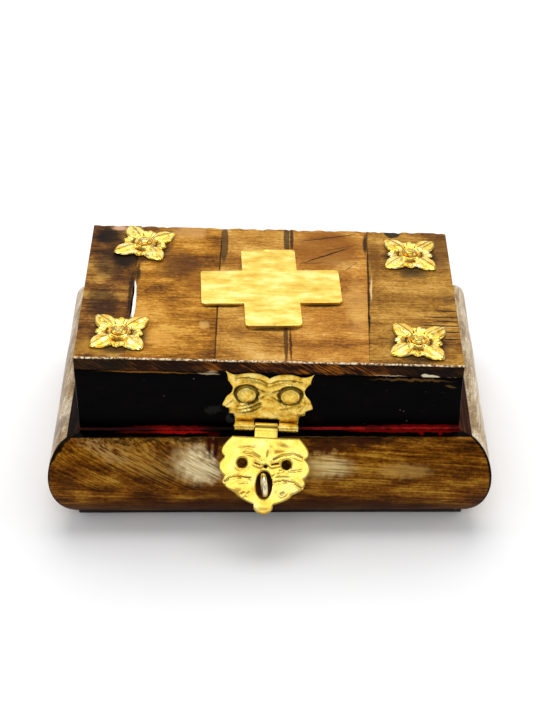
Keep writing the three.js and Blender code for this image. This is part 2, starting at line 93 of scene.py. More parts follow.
def makeCamera():
    down = math.radians(camera["down"])
    yaw = math.radians(camera["yaw"])
    roll = math.radians(camera["roll"])
    ahead = Vector((math.sin(yaw) * math.cos(down), math.cos(yaw) * math.cos(down), -math.sin(down)))
    level = Vector((math.cos(yaw), -math.sin(yaw), 0))
    rise = level.cross(ahead)
    across = level * math.cos(roll) + rise * math.sin(roll)
    above = rise * math.cos(roll) - level * math.sin(roll)
    place = (Vector(camera["target"]) - ahead * camera["distance"]) * mm
    turned = Matrix((across, above, -ahead)).transposed().to_4x4()
    data = bpy.data.cameras.new("camera")
    data.lens = camera["lens"]
    data.clip_start = 0.01
    made = bpy.data.objects.new("camera", data)
    made.matrix_world = Matrix.Translation(place) @ turned
    bpy.context.scene.collection.objects.link(made)
    bpy.context.scene.camera = made


studio = {
    "panels": [
        {"name": "overheadPanel", "at": (0, 170, 680), "size": (620, 440), "power": 3.0},
        {"name": "leftPanel", "at": (-620, -100, 330), "size": (300, 420), "power": 0.5},
        {"name": "rightPanel", "at": (620, -60, 330), "size": (300, 420), "power": 0.5},
        {"name": "rearPanel", "at": (0, 640, 470), "size": (900, 360), "power": 0.9},
        {"name": "frontPanel", "at": (0, -500, 600), "size": (700, 340), "power": 0.95},
    ],
    "aim": (0, 0, 35),
    "surround": "f4f6f8",
    "surroundPower": 0.46,
    "floorPaint": "f7f7f8",
    "floorSize": 6,
}


def paint(code):
    shares = [int(code[i:i + 2], 16) / 255 for i in (0, 2, 4)]
    return [((v + 0.055) / 1.055) ** 2.4 if v > 0.04 else v / 12.92 for v in shares] + [1]


def makeStudio():
    for panel in studio["panels"]:
        data = bpy.data.lights.new(panel["name"], "AREA")
        data.shape = "RECTANGLE"
        data.size, data.size_y = [side * mm for side in panel["size"]]
        data.energy = panel["power"]
        made = bpy.data.objects.new(panel["name"], data)
        made.location = Vector(panel["at"]) * mm
        toward = Vector(studio["aim"]) - Vector(panel["at"])
        made.rotation_euler = toward.to_track_quat("-Z", "Y").to_euler()
        bpy.context.scene.collection.objects.link(made)
    world = bpy.data.worlds.new("surround")
    world.use_nodes = True
    ground = world.node_tree.nodes["Background"]
    ground.inputs["Color"].default_value = paint(studio["surround"])
    ground.inputs["Strength"].default_value = studio["surroundPower"]
    bpy.context.scene.world = world
    bpy.context.scene.view_settings.view_transform = "Standard"


# Shading helpers. Sizes and places of a pattern are in millimetres

def newLook(name):
    look = bpy.data.materials.new(name)
    look.use_nodes = True
    return look, look.node_tree, look.node_tree.nodes["Principled BSDF"]


def add(tree, kind, inputs=None, **settings):
    made = tree.nodes.new("ShaderNode" + kind)
    for key, value in settings.items():
        setattr(made, key, value)
    for key, value in (inputs or {}).items():
        if isinstance(value, bpy.types.NodeSocket):
            tree.links.new(value, made.inputs[key])
        else:
            made.inputs[key].default_value = value
    return made


def placed(tree, size=(1, 1, 1), turn=(0, 0, 0), centre=(0, 0, 0), ragged=0):
    point = add(tree, "TexCoord").outputs["Object"]
    if ragged:
        stir = add(tree, "TexNoise", {"Vector": point, "Scale": 420, "Detail": 3}).outputs["Color"]
        shift = add(tree, "VectorMath", {0: stir, 1: (0.5, 0.5, 0.5)}, operation="SUBTRACT").outputs[0]
        shift = add(tree, "VectorMath", {0: shift, "Scale": 2 * ragged * mm}, operation="SCALE").outputs[0]
        point = add(tree, "VectorMath", {0: point, 1: shift}, operation="ADD").outputs[0]
    return add(tree, "Mapping", {
        "Vector": point,
        "Location": [value * mm for value in centre],
        "Rotation": [math.radians(value) for value in turn],
        "Scale": [value * mm for value in size],
    }, vector_type="TEXTURE").outputs[0]


def grain(tree, size, turn=(0, 0, 0), detail=4, rough=0.55, centre=(0, 0, 0), distort=0):
    return add(tree, "TexNoise", {
        "Vector": placed(tree, size, turn, centre),
        "Scale": 1,
        "Detail": detail,
        "Roughness": rough,
        "Distortion": distort,
    }).outputs["Fac"]


def limits(tree, value, low, high):
    return add(tree, "MapRange", {"Value": value, "From Min": low, "From Max": high},
               interpolation_type="SMOOTHSTEP").outputs["Result"]


def spread(tree, value, low, high, start=0, end=1):
    # Stretches a value that runs from start to end, so that it runs from low to high
    return add(tree, "MapRange", {"Value": value, "From Min": start, "From Max": end,
                                  "To Min": low, "To Max": high}).outputs["Result"]


def sums(tree, way, first, second, clamp=False):
    return add(tree, "Math", {0: first, 1: second}, operation=way, use_clamp=clamp).outputs[0]


def times(tree, first, second):
    return sums(tree, "MULTIPLY", first, second)


def ramp(tree, value, stops):
    made = add(tree, "ValToRGB", {"Fac": value})
    band = made.color_ramp
    for element, stop in ((band.elements[0], stops[0]), (band.elements[1], stops[-1])):
        element.position = stop[0]
        element.color = paint(stop[1])
    for place, code in stops[1:-1]:
        band.elements.new(place).color = paint(code)
    return made.outputs["Color"]


def over(tree, under, top, share):
    made = add(tree, "Mix", data_type="RGBA", blend_type="MIX")
    for socket, value in ((0, share), (6, under), (7, top)):
        if isinstance(value, bpy.types.NodeSocket):
            tree.links.new(value, made.inputs[socket])
        else:
            made.inputs[socket].default_value = paint(value) if isinstance(value, str) else value
    return made.outputs[2]


def spots(tree, size, low, high):
    # 1 on scattered small specks, 0 between them
    cells = add(tree, "TexVoronoi", {"Vector": placed(tree, size), "Scale": 1}).outputs["Distance"]
    return limits(tree, cells, high, low)


def mark(tree, at, size, turn=0, edge=0.6, ragged=1.5):
    # 1 inside an oval patch, 0 outside it
    turned = turn if isinstance(turn, tuple) else (0, 0, turn)
    oval = add(tree, "TexGradient", {"Vector": placed(tree, size, turned, at, ragged)},
               gradient_type="SPHERICAL").outputs["Fac"]
    return limits(tree, oval, 0, edge)


def patch(at, size, tone, share, ragged=1.5, turn=0, edge=0.6, streaky=False):
    # One stain: its middle, half sizes and paint, how much it covers, and how torn its border is
    return {"where": {"at": at, "size": size, "turn": turn, "edge": edge, "ragged": ragged},
            "paint": tone, "share": share, "streaky": streaky}


def slabMark(at, size, tone, share, ragged=1.5, **more):
    # A stain on the roof, placed as it is seen from above and deep enough to reach the slabs
    return patch((*at, 60), (*size, 90), tone, share, ragged, **more)


def stained(tree, colour, marks, streaks=None):
    # Lays patches of other paint over a colour, one after another
    for one in marks:
        share = mark(tree, **one["where"])
        if one["streaky"]:
            share = times(tree, share, streaks)
        colour = over(tree, colour, one["paint"], times(tree, share, one["share"]))
    return colour


def dents(tree, shader, heights):
    # Bumps stacked one on another, given as (height, depth in millimetres)
    normal = None
    for height, depth in heights:
        inputs = {"Height": height, "Distance": depth * mm, "Strength": 1}
        if normal:
            inputs["Normal"] = normal
        normal = add(tree, "Bump", inputs).outputs["Normal"]
    tree.links.new(normal, shader.inputs["Normal"])


def coat(tree, shader, colour, rough, shine=0.5, heights=None):
    # Gives a surface its paint, roughness, shine and bumps
    tree.links.new(colour, shader.inputs["Base Color"])
    if isinstance(rough, bpy.types.NodeSocket):
        tree.links.new(rough, shader.inputs["Roughness"])
    else:
        shader.inputs["Roughness"].default_value = rough
    shader.inputs["Specular IOR Level"].default_value = shine
    if heights:
        dents(tree, shader, heights)


# Bone

bone = {
    "turn": (0, 0, 0),
    "fibre": (7, 0.6, 2),
    "cloud": (16, 8, 9),
    "speckle": (1.3, 0.6, 1.1),
    "mix": (0.32, 0.38, 0.3),  # shares of fibre, cloud and speckle
    "lines": 0.4,
    "scratch": (5, 0.27, 0.6),
    "scratchTurns": (14, 83, -38),
    "scratches": 0.6,
    "pore": (2.1, 1.1, 1.7),
    "porePaint": "2c1608",
    "pores": 0.8,
    "gloss": 0.34,
    "glossSpread": 0.24,
    "shine": 0.07,
    "marks": [],
}


def boneLook(name, own):
    values = {**bone, **own}
    look, tree, shader = newLook(name)
    dark, deep, body, pale = values["tones"]
    turn = values["turn"]
    size = values["fibre"]
    fibres = grain(tree, size, turn, detail=6, rough=0.66)
    if "second" in values:
        turned = grain(tree, size, values["second"]["turn"], detail=6, rough=0.66)
        share = mark(tree, **values["second"]["where"])
        fibres = add(tree, "Mix", {0: share, 2: fibres, 3: turned}, data_type="FLOAT").outputs[0]
    clouds = grain(tree, values["cloud"], turn, detail=4, centre=(3, 7, 1))
    speckle = grain(tree, values["speckle"], turn, detail=5, rough=0.7)
    shares = [times(tree, part, share)
              for part, share in zip((fibres, clouds, speckle), values["mix"])]
    tone = sums(tree, "ADD", sums(tree, "ADD", shares[0], shares[1]), shares[2])
    colour = ramp(tree, tone, [(0.4, dark), (0.47, deep), (0.53, body), (0.59, pale)])
    threads = grain(tree, (size[0] * 0.35, 0.22, 0.6), turn, detail=3)
    lines = limits(tree, threads, 0.6, 0.72)
    colour = over(tree, colour, dark, times(tree, lines, values["lines"]))
    for i, angle in enumerate(values["scratchTurns"]):
        swung = (turn[0], turn[1], turn[2] + angle)
        hairs = grain(tree, values["scratch"], swung, detail=2, centre=(i * 7, 0, 0))
        hairs = limits(tree, hairs, 0.65, 0.72)
        colour = over(tree, colour, dark, times(tree, hairs, values["scratches"]))
    pores = spots(tree, values["pore"], 0.05, 0.17)
    pores = times(tree, pores, limits(tree, clouds, 0.6, 0.4))
    colour = over(tree, colour, values["porePaint"], times(tree, pores, values["pores"]))
    colour = stained(tree, colour, values["marks"], limits(tree, fibres, 0.4, 0.56))
    polish = grain(tree, (9, 5, 5), detail=4)
    rough = spread(tree, polish, values["gloss"], values["gloss"] + values["glossSpread"])
    heights = [(fibres, 0.04), (clouds, 0.15), (times(tree, pores, -1), 0.05)]
    coat(tree, shader, colour, rough, values["shine"], heights)
    return look


sawn = {
    "stroke": (7, 0.4, 0.4),
    "turn": (0, 34, 0),
    "dark": "140802",
    "brown": "331402",
    "light": "a45e14",
    "lapPaint": "050302",
    "paintLine": 0.4,  # the black paint reaches up to about here on the slabs
    "lapWander": 5.2,
    "marks": [
        patch((54, -39, 61), (19, 30, 30), "0b0503", 0.88, 5, edge=0.5),
        patch((-58, -39, 62), (17, 30, 30), "17130a", 0.8, 5, edge=0.5),
        patch((-30, -39, 62), (13, 30, 30), "1d0f05", 0.6, 5),
        patch((54, -39, 59.8), (3.6, 6, 1.1), "e6d9b4", 1, 0.9, turn=(0, 8, 0), edge=0.3),
        patch((61, -39, 59.2), (2.2, 6, 0.6), "b7a47c", 0.9, 0.9),
        patch((-19, -39, 62), (2.6, 6, 0.7), "a8977a", 0.8, 0.9),
        patch((40, -39, 60.4), (7, 6, 0.35), "c9ae86", 0.7, 0.6, turn=(0, 3, 0)),
    ],
}


def sawnLook(name):
    # Slab ends as the saw left them, with black paint lapped up over their lower part
    look, tree, shader = newLook(name)
    strokes = grain(tree, sawn["stroke"], sawn["turn"], detail=3, rough=0.6)
    clouds = grain(tree, (9, 9, 3), detail=3)
    tone = sums(tree, "ADD", times(tree, strokes, 0.65), times(tree, clouds, 0.35))
    colour = ramp(tree, tone, [(0.38, sawn["dark"]), (0.5, sawn["brown"]), (0.63, sawn["light"])])
    height = add(tree, "SeparateXYZ", {0: placed(tree, turn=(0, math.degrees(roofPitch), 0))}).outputs["Z"]
    lap = grain(tree, (7, 7, 2.4), detail=4, rough=0.7)
    level = sums(tree, "SUBTRACT", height, times(tree, lap, sawn["lapWander"]))
    level = sums(tree, "SUBTRACT", level, seat + sawn["paintLine"] - sawn["lapWander"] / 2)
    colour = over(tree, colour, sawn["lapPaint"], limits(tree, level, 0.35, -0.25))
    colour = stained(tree, colour, sawn["marks"])
    coat(tree, shader, colour, 0.5, 0.06, [(strokes, 0.16)])
    return look


def arrisLook(name):
    # The worn white line along the slabs' front edge
    look, tree, shader = newLook(name)
    wear = grain(tree, (1.1, 1, 1), detail=5, rough=0.7)
    colour = ramp(tree, wear, [(0.4, "3a1e08"), (0.48, "a97d44"), (0.55, "ecd9b0"), (0.68, "fff8e6")])
    coat(tree, shader, colour, 0.6, heights=[(wear, 0.12)])
    return look


# Painted and plain wood, felt

blackPaint = {
    "gloss": (0.16, 0.46),
    "shine": 0.02,
    "scratch": (5, 0.16, 0.3),
    "speck": (3.4, 3, 3),
    "speckPaint": "7a7468",
    "lid": [
        patch((46, -39.25, 37.9), (24, 5, 0.9), "7c0d0a", 0.85, 0.8, turn=(0, -1, 0), edge=0.4),
        patch((-34, -39.25, 37.9), (17, 5, 0.8), "8a0f0b", 0.8, 0.8),
        patch((-19, -39.25, 46), (3.2, 5, 2.4), "2a2926", 0.5, 3.5),
        patch((-13.5, -39.25, 42), (1.4, 5, 3), "33332f", 0.6, 2.2),
        patch((-40, -39.25, 62.2), (20, 5, 0.35), "8a5a1e", 0.9, 0.5, turn=(0, 2, 0)),
        patch((-20, -39.25, 61.3), (4.5, 5, 0.5), "b9a27c", 0.9, 0.7, turn=(0, 2, 0)),
        patch((48, -39.25, 58.4), (16, 5, 0.8), "6a4a20", 0.7, 1.2, turn=(0, 2, 0)),
        patch((61, -39.25, 55.6), (2.6, 5, 0.6), "5a4420", 0.8, 0.8, turn=(0, 20, 0)),
    ],
    "ledge": [
        patch((46, -40.4, 36.8), (23, 0.9, 3), "860e0a", 0.9, 0.6, turn=-0.6, edge=0.4),
        patch((52, -41.4, 36.8), (1.2, 1.6, 3), "8a0f0b", 0.8, 0.5, turn=30),
        patch((58.5, -41.6, 36.8), (1, 1.4, 3), "8a0f0b", 0.7, 0.5, turn=-20),
        patch((-31, -40.6, 36.8), (12, 1.0, 3), "b3140f", 0.95, 0.9, turn=-1, edge=0.4),
        patch((-45, -40.6, 36.8), (9, 0.8, 3), "6a0d08", 0.8, 0.9),
        patch((-19, -42, 36.8), (3, 2.4, 3), "3a0705", 0.85, 1),
        patch((-65, -39.25, 36.8), (0.35, 12, 3), "c9b48a", 0.8, 0.3, turn=135),
        patch((0, -43.3, 36.8), (75, 0.25, 0.4), "6b4a24", 0.7, 0.5),
    ],
}


def blackLook(name, marks=()):
    look, tree, shader = newLook(name)
    clouds = grain(tree, (18, 10, 9), detail=3)
    colour = ramp(tree, clouds, [(0.35, "020101"), (0.6, "050303"), (0.75, "0d0805")])
    specks = spots(tree, blackPaint["speck"], 0.045, 0.1)
    some = limits(tree, grain(tree, (9, 9, 7), detail=2), 0.52, 0.62)
    colour = over(tree, colour, blackPaint["speckPaint"], times(tree, specks, some))
    hairs = limits(tree, grain(tree, blackPaint["scratch"], (0, 24, 0), detail=2), 0.72, 0.78)
    colour = over(tree, colour, "3a342a", times(tree, hairs, some))
    colour = stained(tree, colour, marks)
    rough = spread(tree, clouds, *blackPaint["gloss"])
    heights = [(grain(tree, (4, 1.5, 2), detail=4), 0.07)]
    coat(tree, shader, colour, rough, blackPaint["shine"], heights)
    return look


def woodLook(name, tones, size, gloss=0.4, chips=0.0, shine=0.3):
    look, tree, shader = newLook(name)
    veins = grain(tree, size, detail=6, rough=0.65, distort=0.4)
    colour = ramp(tree, veins, [(0.34, tones[0]), (0.5, tones[1]), (0.68, tones[2])])
    pores = spots(tree, (size[0] * 0.1, size[1] * 0.4, 0.7), 0.06, 0.16)
    colour = over(tree, colour, tones[0], times(tree, pores, 0.6))
    if chips:
        bare = times(tree, spots(tree, (3.2, 3.2, 1.4), 0.06, 0.14),
                    limits(tree, grain(tree, (12, 12, 6), detail=2), 0.5, 0.58))
        colour = over(tree, colour, "cdb48c", times(tree, bare, chips))
    coat(tree, shader, colour, gloss, shine, [(veins, 0.08), (times(tree, pores, -1), 0.06)])
    return look


felt = {
    "nap": (0.5, 0.5, 0.5),
    "worn": (6, 4, 3),
    "deep": "7a0b08",
    "red": "c41610",
    "raised": "d93a2c",
    "stain": "1a0403",
    "corner": ((-56, -halfDepth, 37), (25, 30, 30)),  # blackened places on the edging: middle, half sizes
    "nearClasp": ((-6, -halfDepth, 37), (26, 30, 30)),
}


def feltLook(name, dirty):
    look, tree, shader = newLook(name)
    nap = grain(tree, felt["nap"], detail=5, rough=0.7)
    colour = ramp(tree, nap, [(0.32, felt["deep"]), (0.52, felt["red"]), (0.72, felt["raised"])])
    worn = grain(tree, felt["worn"], detail=4, rough=0.6, centre=(11, 0, 0))
    if dirty:
        share = times(tree, limits(tree, worn, 0.5, 0.58), 0.7)
        corner = mark(tree, *felt["corner"], edge=0.5)
        nearClasp = mark(tree, *felt["nearClasp"], edge=0.5)
        bare = sums(tree, "MAXIMUM", times(tree, corner, 0.92), nearClasp)
        share = sums(tree, "MAXIMUM", share, bare)
    else:
        share = times(tree, limits(tree, worn, 0.5, 0.8), 0.5)
    colour = over(tree, colour, felt["stain"], share)
    coat(tree, shader, colour, 0.95, 0.2, [(nap, 0.12), (worn, 0.2)])
    shader.inputs["Sheen Weight"].default_value = 0.04
    return look


# Brass

brass = {
    "blotch": (2.6, 2.6, 2.6),
    "crevice": 0,  # how far the tarnish, and the painted shade laid with it, covers the low places
    "hairWide": 0.12,
    "hairTurns": ((0, 0, 20), (0, 0, -50)),
    "hairDepth": 0.02,
    "gleam": (1.7, 1.7, 1.7),
}


def brassLook(name, own):
    values = {**brass, **own}
    look, tree, shader = newLook(name)
    blotch = grain(tree, values["blotch"], detail=5, rough=0.62)
    colour = ramp(tree, blotch, [(0.34, values["deep"]), (0.5, values["body"]), (0.66, values["bright"])])
    if values["crevice"]:
        low = add(tree, "Attribute", attribute_name="crevice").outputs["Fac"]
        low = sums(tree, "MULTIPLY", low, spread(tree, blotch, 0.6, 1.2), clamp=True)
        colour = over(tree, colour, values["tarnishAndShade"], times(tree, low, values["crevice"]))
    along, across = values["hairTurns"]
    fine = values["hairWide"]
    hairs = limits(tree, grain(tree, (6, fine, 0.3), along, detail=2), 0.66, 0.74)
    others = limits(tree, grain(tree, (5, fine, 0.3), across, detail=2), 0.67, 0.75)
    hairs = sums(tree, "MAXIMUM", hairs, others)
    colour = over(tree, colour, values["scratch"], times(tree, hairs, values["hairs"]))
    rough = spread(tree, grain(tree, values["gleam"], detail=3), *values["gloss"], start=0.3, end=0.7)
    shader.inputs["Metallic"].default_value = 1
    beaten = grain(tree, values["beat"], detail=3)
    heights = [(beaten, values["beatDepth"]), (times(tree, hairs, -1), values["hairDepth"])]
    coat(tree, shader, colour, rough, heights=heights)
    return look


brasses = {
    "crossBrass": {"deep": "d3ac44", "body": "edcc64", "bright": "fce594", "blotch": (9, 3, 7),
                   "scratch": "7a5a1c", "hairs": 0.55, "hairWide": 0.3, "gloss": (0.4, 0.54),
                   "beat": (5, 5, 5), "beatDepth": 0.04},
    "stampedBrass": {"deep": "e0a230", "body": "f8cf5e", "bright": "ffe99e", "crevice": 0.95,
                     "tarnishAndShade": "3a1c05", "scratch": "8a5c1a", "hairs": 0.1, "gloss": (0.12, 0.24),
                     "beat": (2, 2, 2), "beatDepth": 0.05},
    # its tarnish is near black, partly as painted shade in the recesses round the eye nails
    "plateBrass": {"deep": "c8982c", "body": "f6cd58", "bright": "ffe688", "crevice": 1.0,
                   "tarnishAndShade": "160c03", "scratch": "6b4c18", "hairs": 0.25, "gloss": (0.22, 0.38),
                   "beat": (1.5, 1.5, 1.5), "beatDepth": 0.06, "hairTurns": ((0, 20, 0), (0, -50, 0))},
    "flapBrass": {"deep": "eebc48", "body": "fbd562", "bright": "ffe68a", "crevice": 1.0,
                  "tarnishAndShade": "241203", "scratch": "8a5c1a", "hairs": 0.1, "gloss": (0.15, 0.26),
                  "beat": (4, 4, 4), "beatDepth": 0.03, "hairTurns": ((0, 20, 0), (0, -50, 0)),
                  "blotch": (6, 6, 6)},
    "hingeBrass": {"deep": "7d5c22", "body": "b48d42", "bright": "d8b468",
                   "scratch": "5b4018", "hairs": 0.3, "gloss": (0.28, 0.5), "beat": (1.5, 1.5, 1.5),
                   "beatDepth": 0.04},
    "wireBrass": {"deep": "d8c690", "body": "efe2b8", "bright": "fff6dc",
                  "scratch": "6b5a3a", "hairs": 0.1, "gloss": (0.26, 0.34), "beat": (3, 3, 3),
                  "beatDepth": 0.01},
}


# Modelling helpers

def finishPiece(name, bm, looks, node, place=Matrix()):
    # Puts a shape in its place in metres, as one object that rides with the node it stands for
    bmesh.ops.transform(bm, matrix=Matrix.Scale(mm, 4) @ place, verts=bm.verts)
    mesh = bpy.data.meshes.new(name)
    bm.to_mesh(mesh)
    bm.free()
    mesh.shade_smooth()
    mesh.set_sharp_from_angle(angle=math.radians(38))
    piece = bpy.data.objects.new(name, mesh)
    bpy.context.scene.collection.objects.link(piece)
    for look in looks if isinstance(looks, list) else [looks]:
        mesh.materials.append(look)
    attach(piece, bodyOf[node])
    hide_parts(node)


def grown(bm, geometry, way):
    # Extrudes a face region along a vector and returns the new vertices
    made = bmesh.ops.extrude_face_region(bm, geom=geometry)["geom"]
    verts = [item for item in made if isinstance(item, bmesh.types.BMVert)]
    bmesh.ops.translate(bm, vec=way, verts=verts)
    return verts


def prism(points, way):
    bm = bmesh.new()
    face = bm.faces.new([bm.verts.new(point) for point in points])
    grown(bm, [face], way)
    bmesh.ops.recalc_face_normals(bm, faces=bm.faces)
    return bm


def sharpEdges(bm, degrees=30, test=None):
    limit = math.radians(degrees)
    found = [edge for edge in bm.edges if edge.is_manifold and edge.calc_face_angle() > limit]
    return [edge for edge in found if test is None or test(edge)]


def softened(bm, offset, edges=None, segments=2, material=-1):
    chosen = sharpEdges(bm) if edges is None else edges
    return bmesh.ops.bevel(bm, geom=chosen, offset=offset, offset_type="OFFSET", segments=segments,
                           profile=0.5, affect="EDGES", clamp_overlap=True, material=material)


def merged(bm, other):
    # Adds another shape to this one
    spare = bpy.data.meshes.new("spare")
    other.to_mesh(spare)
    other.free()
    bm.from_mesh(spare)
    bpy.data.meshes.remove(spare)
    return bm


def copyOf(node):
    # A node's own shape in millimetres, with its loose triangles merged into whole faces
    bm = bmesh.new()
    bm.from_mesh(frame["nodes"][node].data)
    bmesh.ops.scale(bm, vec=(1 / mm, 1 / mm, 1 / mm), verts=bm.verts)
    bmesh.ops.remove_doubles(bm, verts=bm.verts, dist=0.002)
    bmesh.ops.dissolve_limit(bm, angle_limit=math.radians(1), verts=bm.verts, edges=bm.edges)
    return bm


def roofPoints(node):
    # A node's vertices in millimetres, seen from the sloping roof
    inward = roofFrame.inverted()
    return [inward @ (vert.co / mm) for vert in frame["nodes"][node].data.vertices]


def fromAxis(vert):
    return (vert.co.x ** 2 + vert.co.y ** 2) ** 0.5


def bump(away, width):
    # 1 at no distance, falling off over a width
    return math.exp(-(away / width) ** 2)


def wobble(bm, amount, scale, seed=0):
    # Hand-made unevenness along the normals
    bm.normal_update()
    moves = []
    for vert in bm.verts:
        push = noise.noise(vert.co / scale + Vector((seed, seed * 2, 0))) * amount
        moves.append((vert, vert.normal * push))
    for vert, move in moves:
        vert.co += move


def chain(bm, points):
    # A string of edges from point to point
    verts = [bm.verts.new(point) for point in points]
    return [bm.edges.new(pair) for pair in zip(verts, verts[1:])]


def sweptRound(bm, steps, close=0.001):
    # Turns all that is there about z, and joins what ends up closer than this
    bmesh.ops.spin(bm, geom=bm.verts[:] + bm.edges[:], cent=(0, 0, 0), axis=(0, 0, 1), dvec=(0, 0, 0),
                   angle=2 * math.pi, steps=steps, use_merge=True, use_duplicate=False)
    bmesh.ops.remove_doubles(bm, verts=bm.verts, dist=close)
    bmesh.ops.recalc_face_normals(bm, faces=bm.faces)


def spun(profile, steps):
    # Turns a profile of (radius, height) points into a closed round piece about z
    bm = bmesh.new()
    chain(bm, [(radius, 0, height) for radius, height in profile])
    sweptRound(bm, steps)
    return bm


def thickened(bm, thickness, outward):
    # Turns the faces outward, by a measure of a face, and gives the sheet its thickness
    bmesh.ops.recalc_face_normals(bm, faces=bm.faces)
    if sum(outward(face) for face in bm.faces) < 0:
        bmesh.ops.reverse_faces(bm, faces=bm.faces)
    bmesh.ops.solidify(bm, geom=bm.faces[:], thickness=thickness)


def swing(degrees, axis):
    return Matrix.Rotation(math.radians(degrees), 4, axis)


def smoothstep(value, low, high):
    share = min(1, max(0, (value - low) / (high - low)))
    return share * share * (3 - 2 * share)


def curveThrough(points, steps):
    # Points given as (x, z, bulge); bulge bows the stretch to the next point out to its left
    made = []
    for here, after in zip(points, points[1:]):
        start, end = Vector(here[:2]), Vector(after[:2])
        way = end - start
        side = Vector((-way.y, way.x)).normalized() * here[2] * 2
        middle = (start + end) / 2 + side
        for i in range(steps):
            t = i / steps
            made.append(start * (1 - t) ** 2 + middle * (2 * t * (1 - t)) + end * t * t)
    made.append(Vector(points[-1][:2]))
    return made


def pathDistance(point, path):
    best = 1e9
    for a, b in zip(path, path[1:]):
        start, way = Vector(a), Vector(b) - Vector(a)
        share = min(1, max(0, (point - start).dot(way) / way.length_squared))
        best = min(best, (point - start - way * share).length)
    return best


def reliefAt(point, values):
    # Height of a stamped face at a point, from its swellings, grooves and rings
    height = 0
    for x, z, wide, tall, rise in values["swells"]:
        height += rise * bump(point.x - x, wide) * bump(point.y - z, tall)
    for groove in values["grooves"]:
        away = pathDistance(point, groove["path"])
        if away < 2.5:
            width = groove.get("width", 0.3)
            height -= groove["depth"] * (bump(away, width) - 0.4 * bump(away - 2.4 * width, width))
    for x, z, radius, width, rise in values["rings"]:
        height += rise * bump((point - Vector((x, z))).length - radius, width)
    return height


def stampedSheet(outline, holes, values):
    # A sheet lying in the x-z plane, cut into a fine grid and pushed out to its relief
    bm = bmesh.new()
    for loop in [outline] + holes:
        ring = [bm.verts.new((point.x, 0, point.y)) for point in loop]
        for a, b in zip(ring, ring[1:] + ring[:1]):
            bm.edges.new((a, b))
    bmesh.ops.triangle_fill(bm, edges=bm.edges[:], use_beauty=True, use_dissolve=True, normal=(0, -1, 0))
    cell = values["cell"]
    for axis, way in ((0, Vector((1, 0, 0))), (2, Vector((0, 0, 1)))):
        low = min(vert.co[axis] for vert in bm.verts)
        high = max(vert.co[axis] for vert in bm.verts)
        for i in range(1, int((high - low) / cell) + 1):
            bmesh.ops.bisect_plane(bm, geom=bm.verts[:] + bm.edges[:] + bm.faces[:], dist=1e-4,
                                   plane_co=way * (low + i * cell), plane_no=way)
    bmesh.ops.remove_doubles(bm, verts=bm.verts, dist=0.01)
    rim = [vert for vert in bm.verts if vert.is_boundary]
    tree = kdtree.KDTree(len(rim))
    for i, vert in enumerate(rim):
        tree.insert(vert.co, i)
    tree.balance()
    crevice = bm.verts.layers.float.new("crevice")
    for vert in bm.verts:
        point = Vector((vert.co.x, vert.co.z))
        height = reliefAt(point, values)
        fromEdge = tree.find(vert.co)[2]
        height -= values["turnDown"] * (1 - smoothstep(fromEdge, 0, values["edge"]))
        height += values["beaten"] * noise.noise(Vector((point.x, point.y, 0)) / values["beatScale"])
        vert[crevice] = smoothstep(-height, 0.03, 0.3)
        vert.co.y = -values["base"] - height
    thickened(bm, values["sheet"], lambda face: -face.normal.y)
    return bm


def rolledSheet(profile, low, high, thickness):
    # A strip bent along a profile of (y, z) points on its outer side, running from low to high in x
    bm = bmesh.new()
    made = bmesh.ops.extrude_edge_only(bm, edges=chain(bm, [(low, y, z) for y, z in profile]))["geom"]
    across = [item for item in made if isinstance(item, bmesh.types.BMVert)]
    bmesh.ops.translate(bm, vec=(high - low, 0, 0), verts=across)
    thickened(bm, thickness, lambda face: face.normal.dot(face.calc_center_median() * Vector((0, 1, 1))))
    bmesh.ops.recalc_face_normals(bm, faces=bm.faces)
    softened(bm, 0.1, sharpEdges(bm, 50))
    return bm


# Body

belly = {
    "shoulder": (8.1, 1.5),  # first handle: out from the ledge's edge, and down
    "swell": (14.7, 11.1),  # second handle: out from the lid's side, and up from the base
    "foot": 3.9,
    "thick": 3,
    "seam": 0.12,
    "steps": 26,
    "lengths": 56,
    "soften": 0.22,
    "uneven": 0.16,
    "scale": 16,
}

sides = [("front", 0), ("right", 90), ("rear", 180), ("left", 270)]


def bellyAt(t):
    points = [
        Vector((ledge, rimTop)),
        Vector((ledge + belly["shoulder"][0], rimTop - belly["shoulder"][1])),
        Vector((belly["swell"][0], baseTop + belly["swell"][1])),
        Vector((belly["foot"], baseTop)),
    ]
    shares = [(1 - t) ** 3, 3 * t * (1 - t) ** 2, 3 * t * t * (1 - t), t ** 3]
    return sum((point * share for point, share in zip(points, shares)), Vector((0, 0)))


def mitredRun(section, turn, cuts):
    # A closed section of (reach, height) points run along one side, its ends mitred
    sideways = turn in (90, 270)
    length = halfDepth if sideways else halfLength
    depth = halfLength if sideways else halfDepth
    bm = prism([(-1, -reach, height) for reach, height in section], (2, 0, 0))
    runs = [edge for edge in bm.edges if abs(edge.verts[0].co.x - edge.verts[1].co.x) > 1]
    bmesh.ops.subdivide_edges(bm, edges=runs, cuts=cuts, use_grid_fill=True)
    for vert in bm.verts:
        reach = -vert.co.y
        vert.co.x *= length + reach - belly["seam"]
        vert.co.y = -depth - reach
    bmesh.ops.transform(bm, matrix=swing(turn, "Z"), verts=bm.verts)
    return bm


def makeBonePanel(name, turn, look):
    steps = belly["steps"]
    outer = [bellyAt(i / steps) for i in range(steps + 1)]
    inner = []
    for i in range(steps - 1, 1, -1):
        way = (outer[i + 1] - outer[i - 1]).normalized()
        inner.append(outer[i] + Vector((way.y, -way.x)) * belly["thick"])
    section = outer + [Vector((inner[0].x, baseTop))] + inner + [Vector((ledge, rimBase))]
    bm = mitredRun(section, turn, belly["lengths"])
    wobble(bm, belly["uneven"], belly["scale"], seed=turn)
    worn = sharpEdges(bm, 40, lambda edge: min(v.co.z for v in edge.verts) > rimTop - 0.6
                      or edge.calc_length() < 3)
    softened(bm, belly["soften"], worn)
    finishPiece("panel_" + name, bm, look, "bone_" + name)


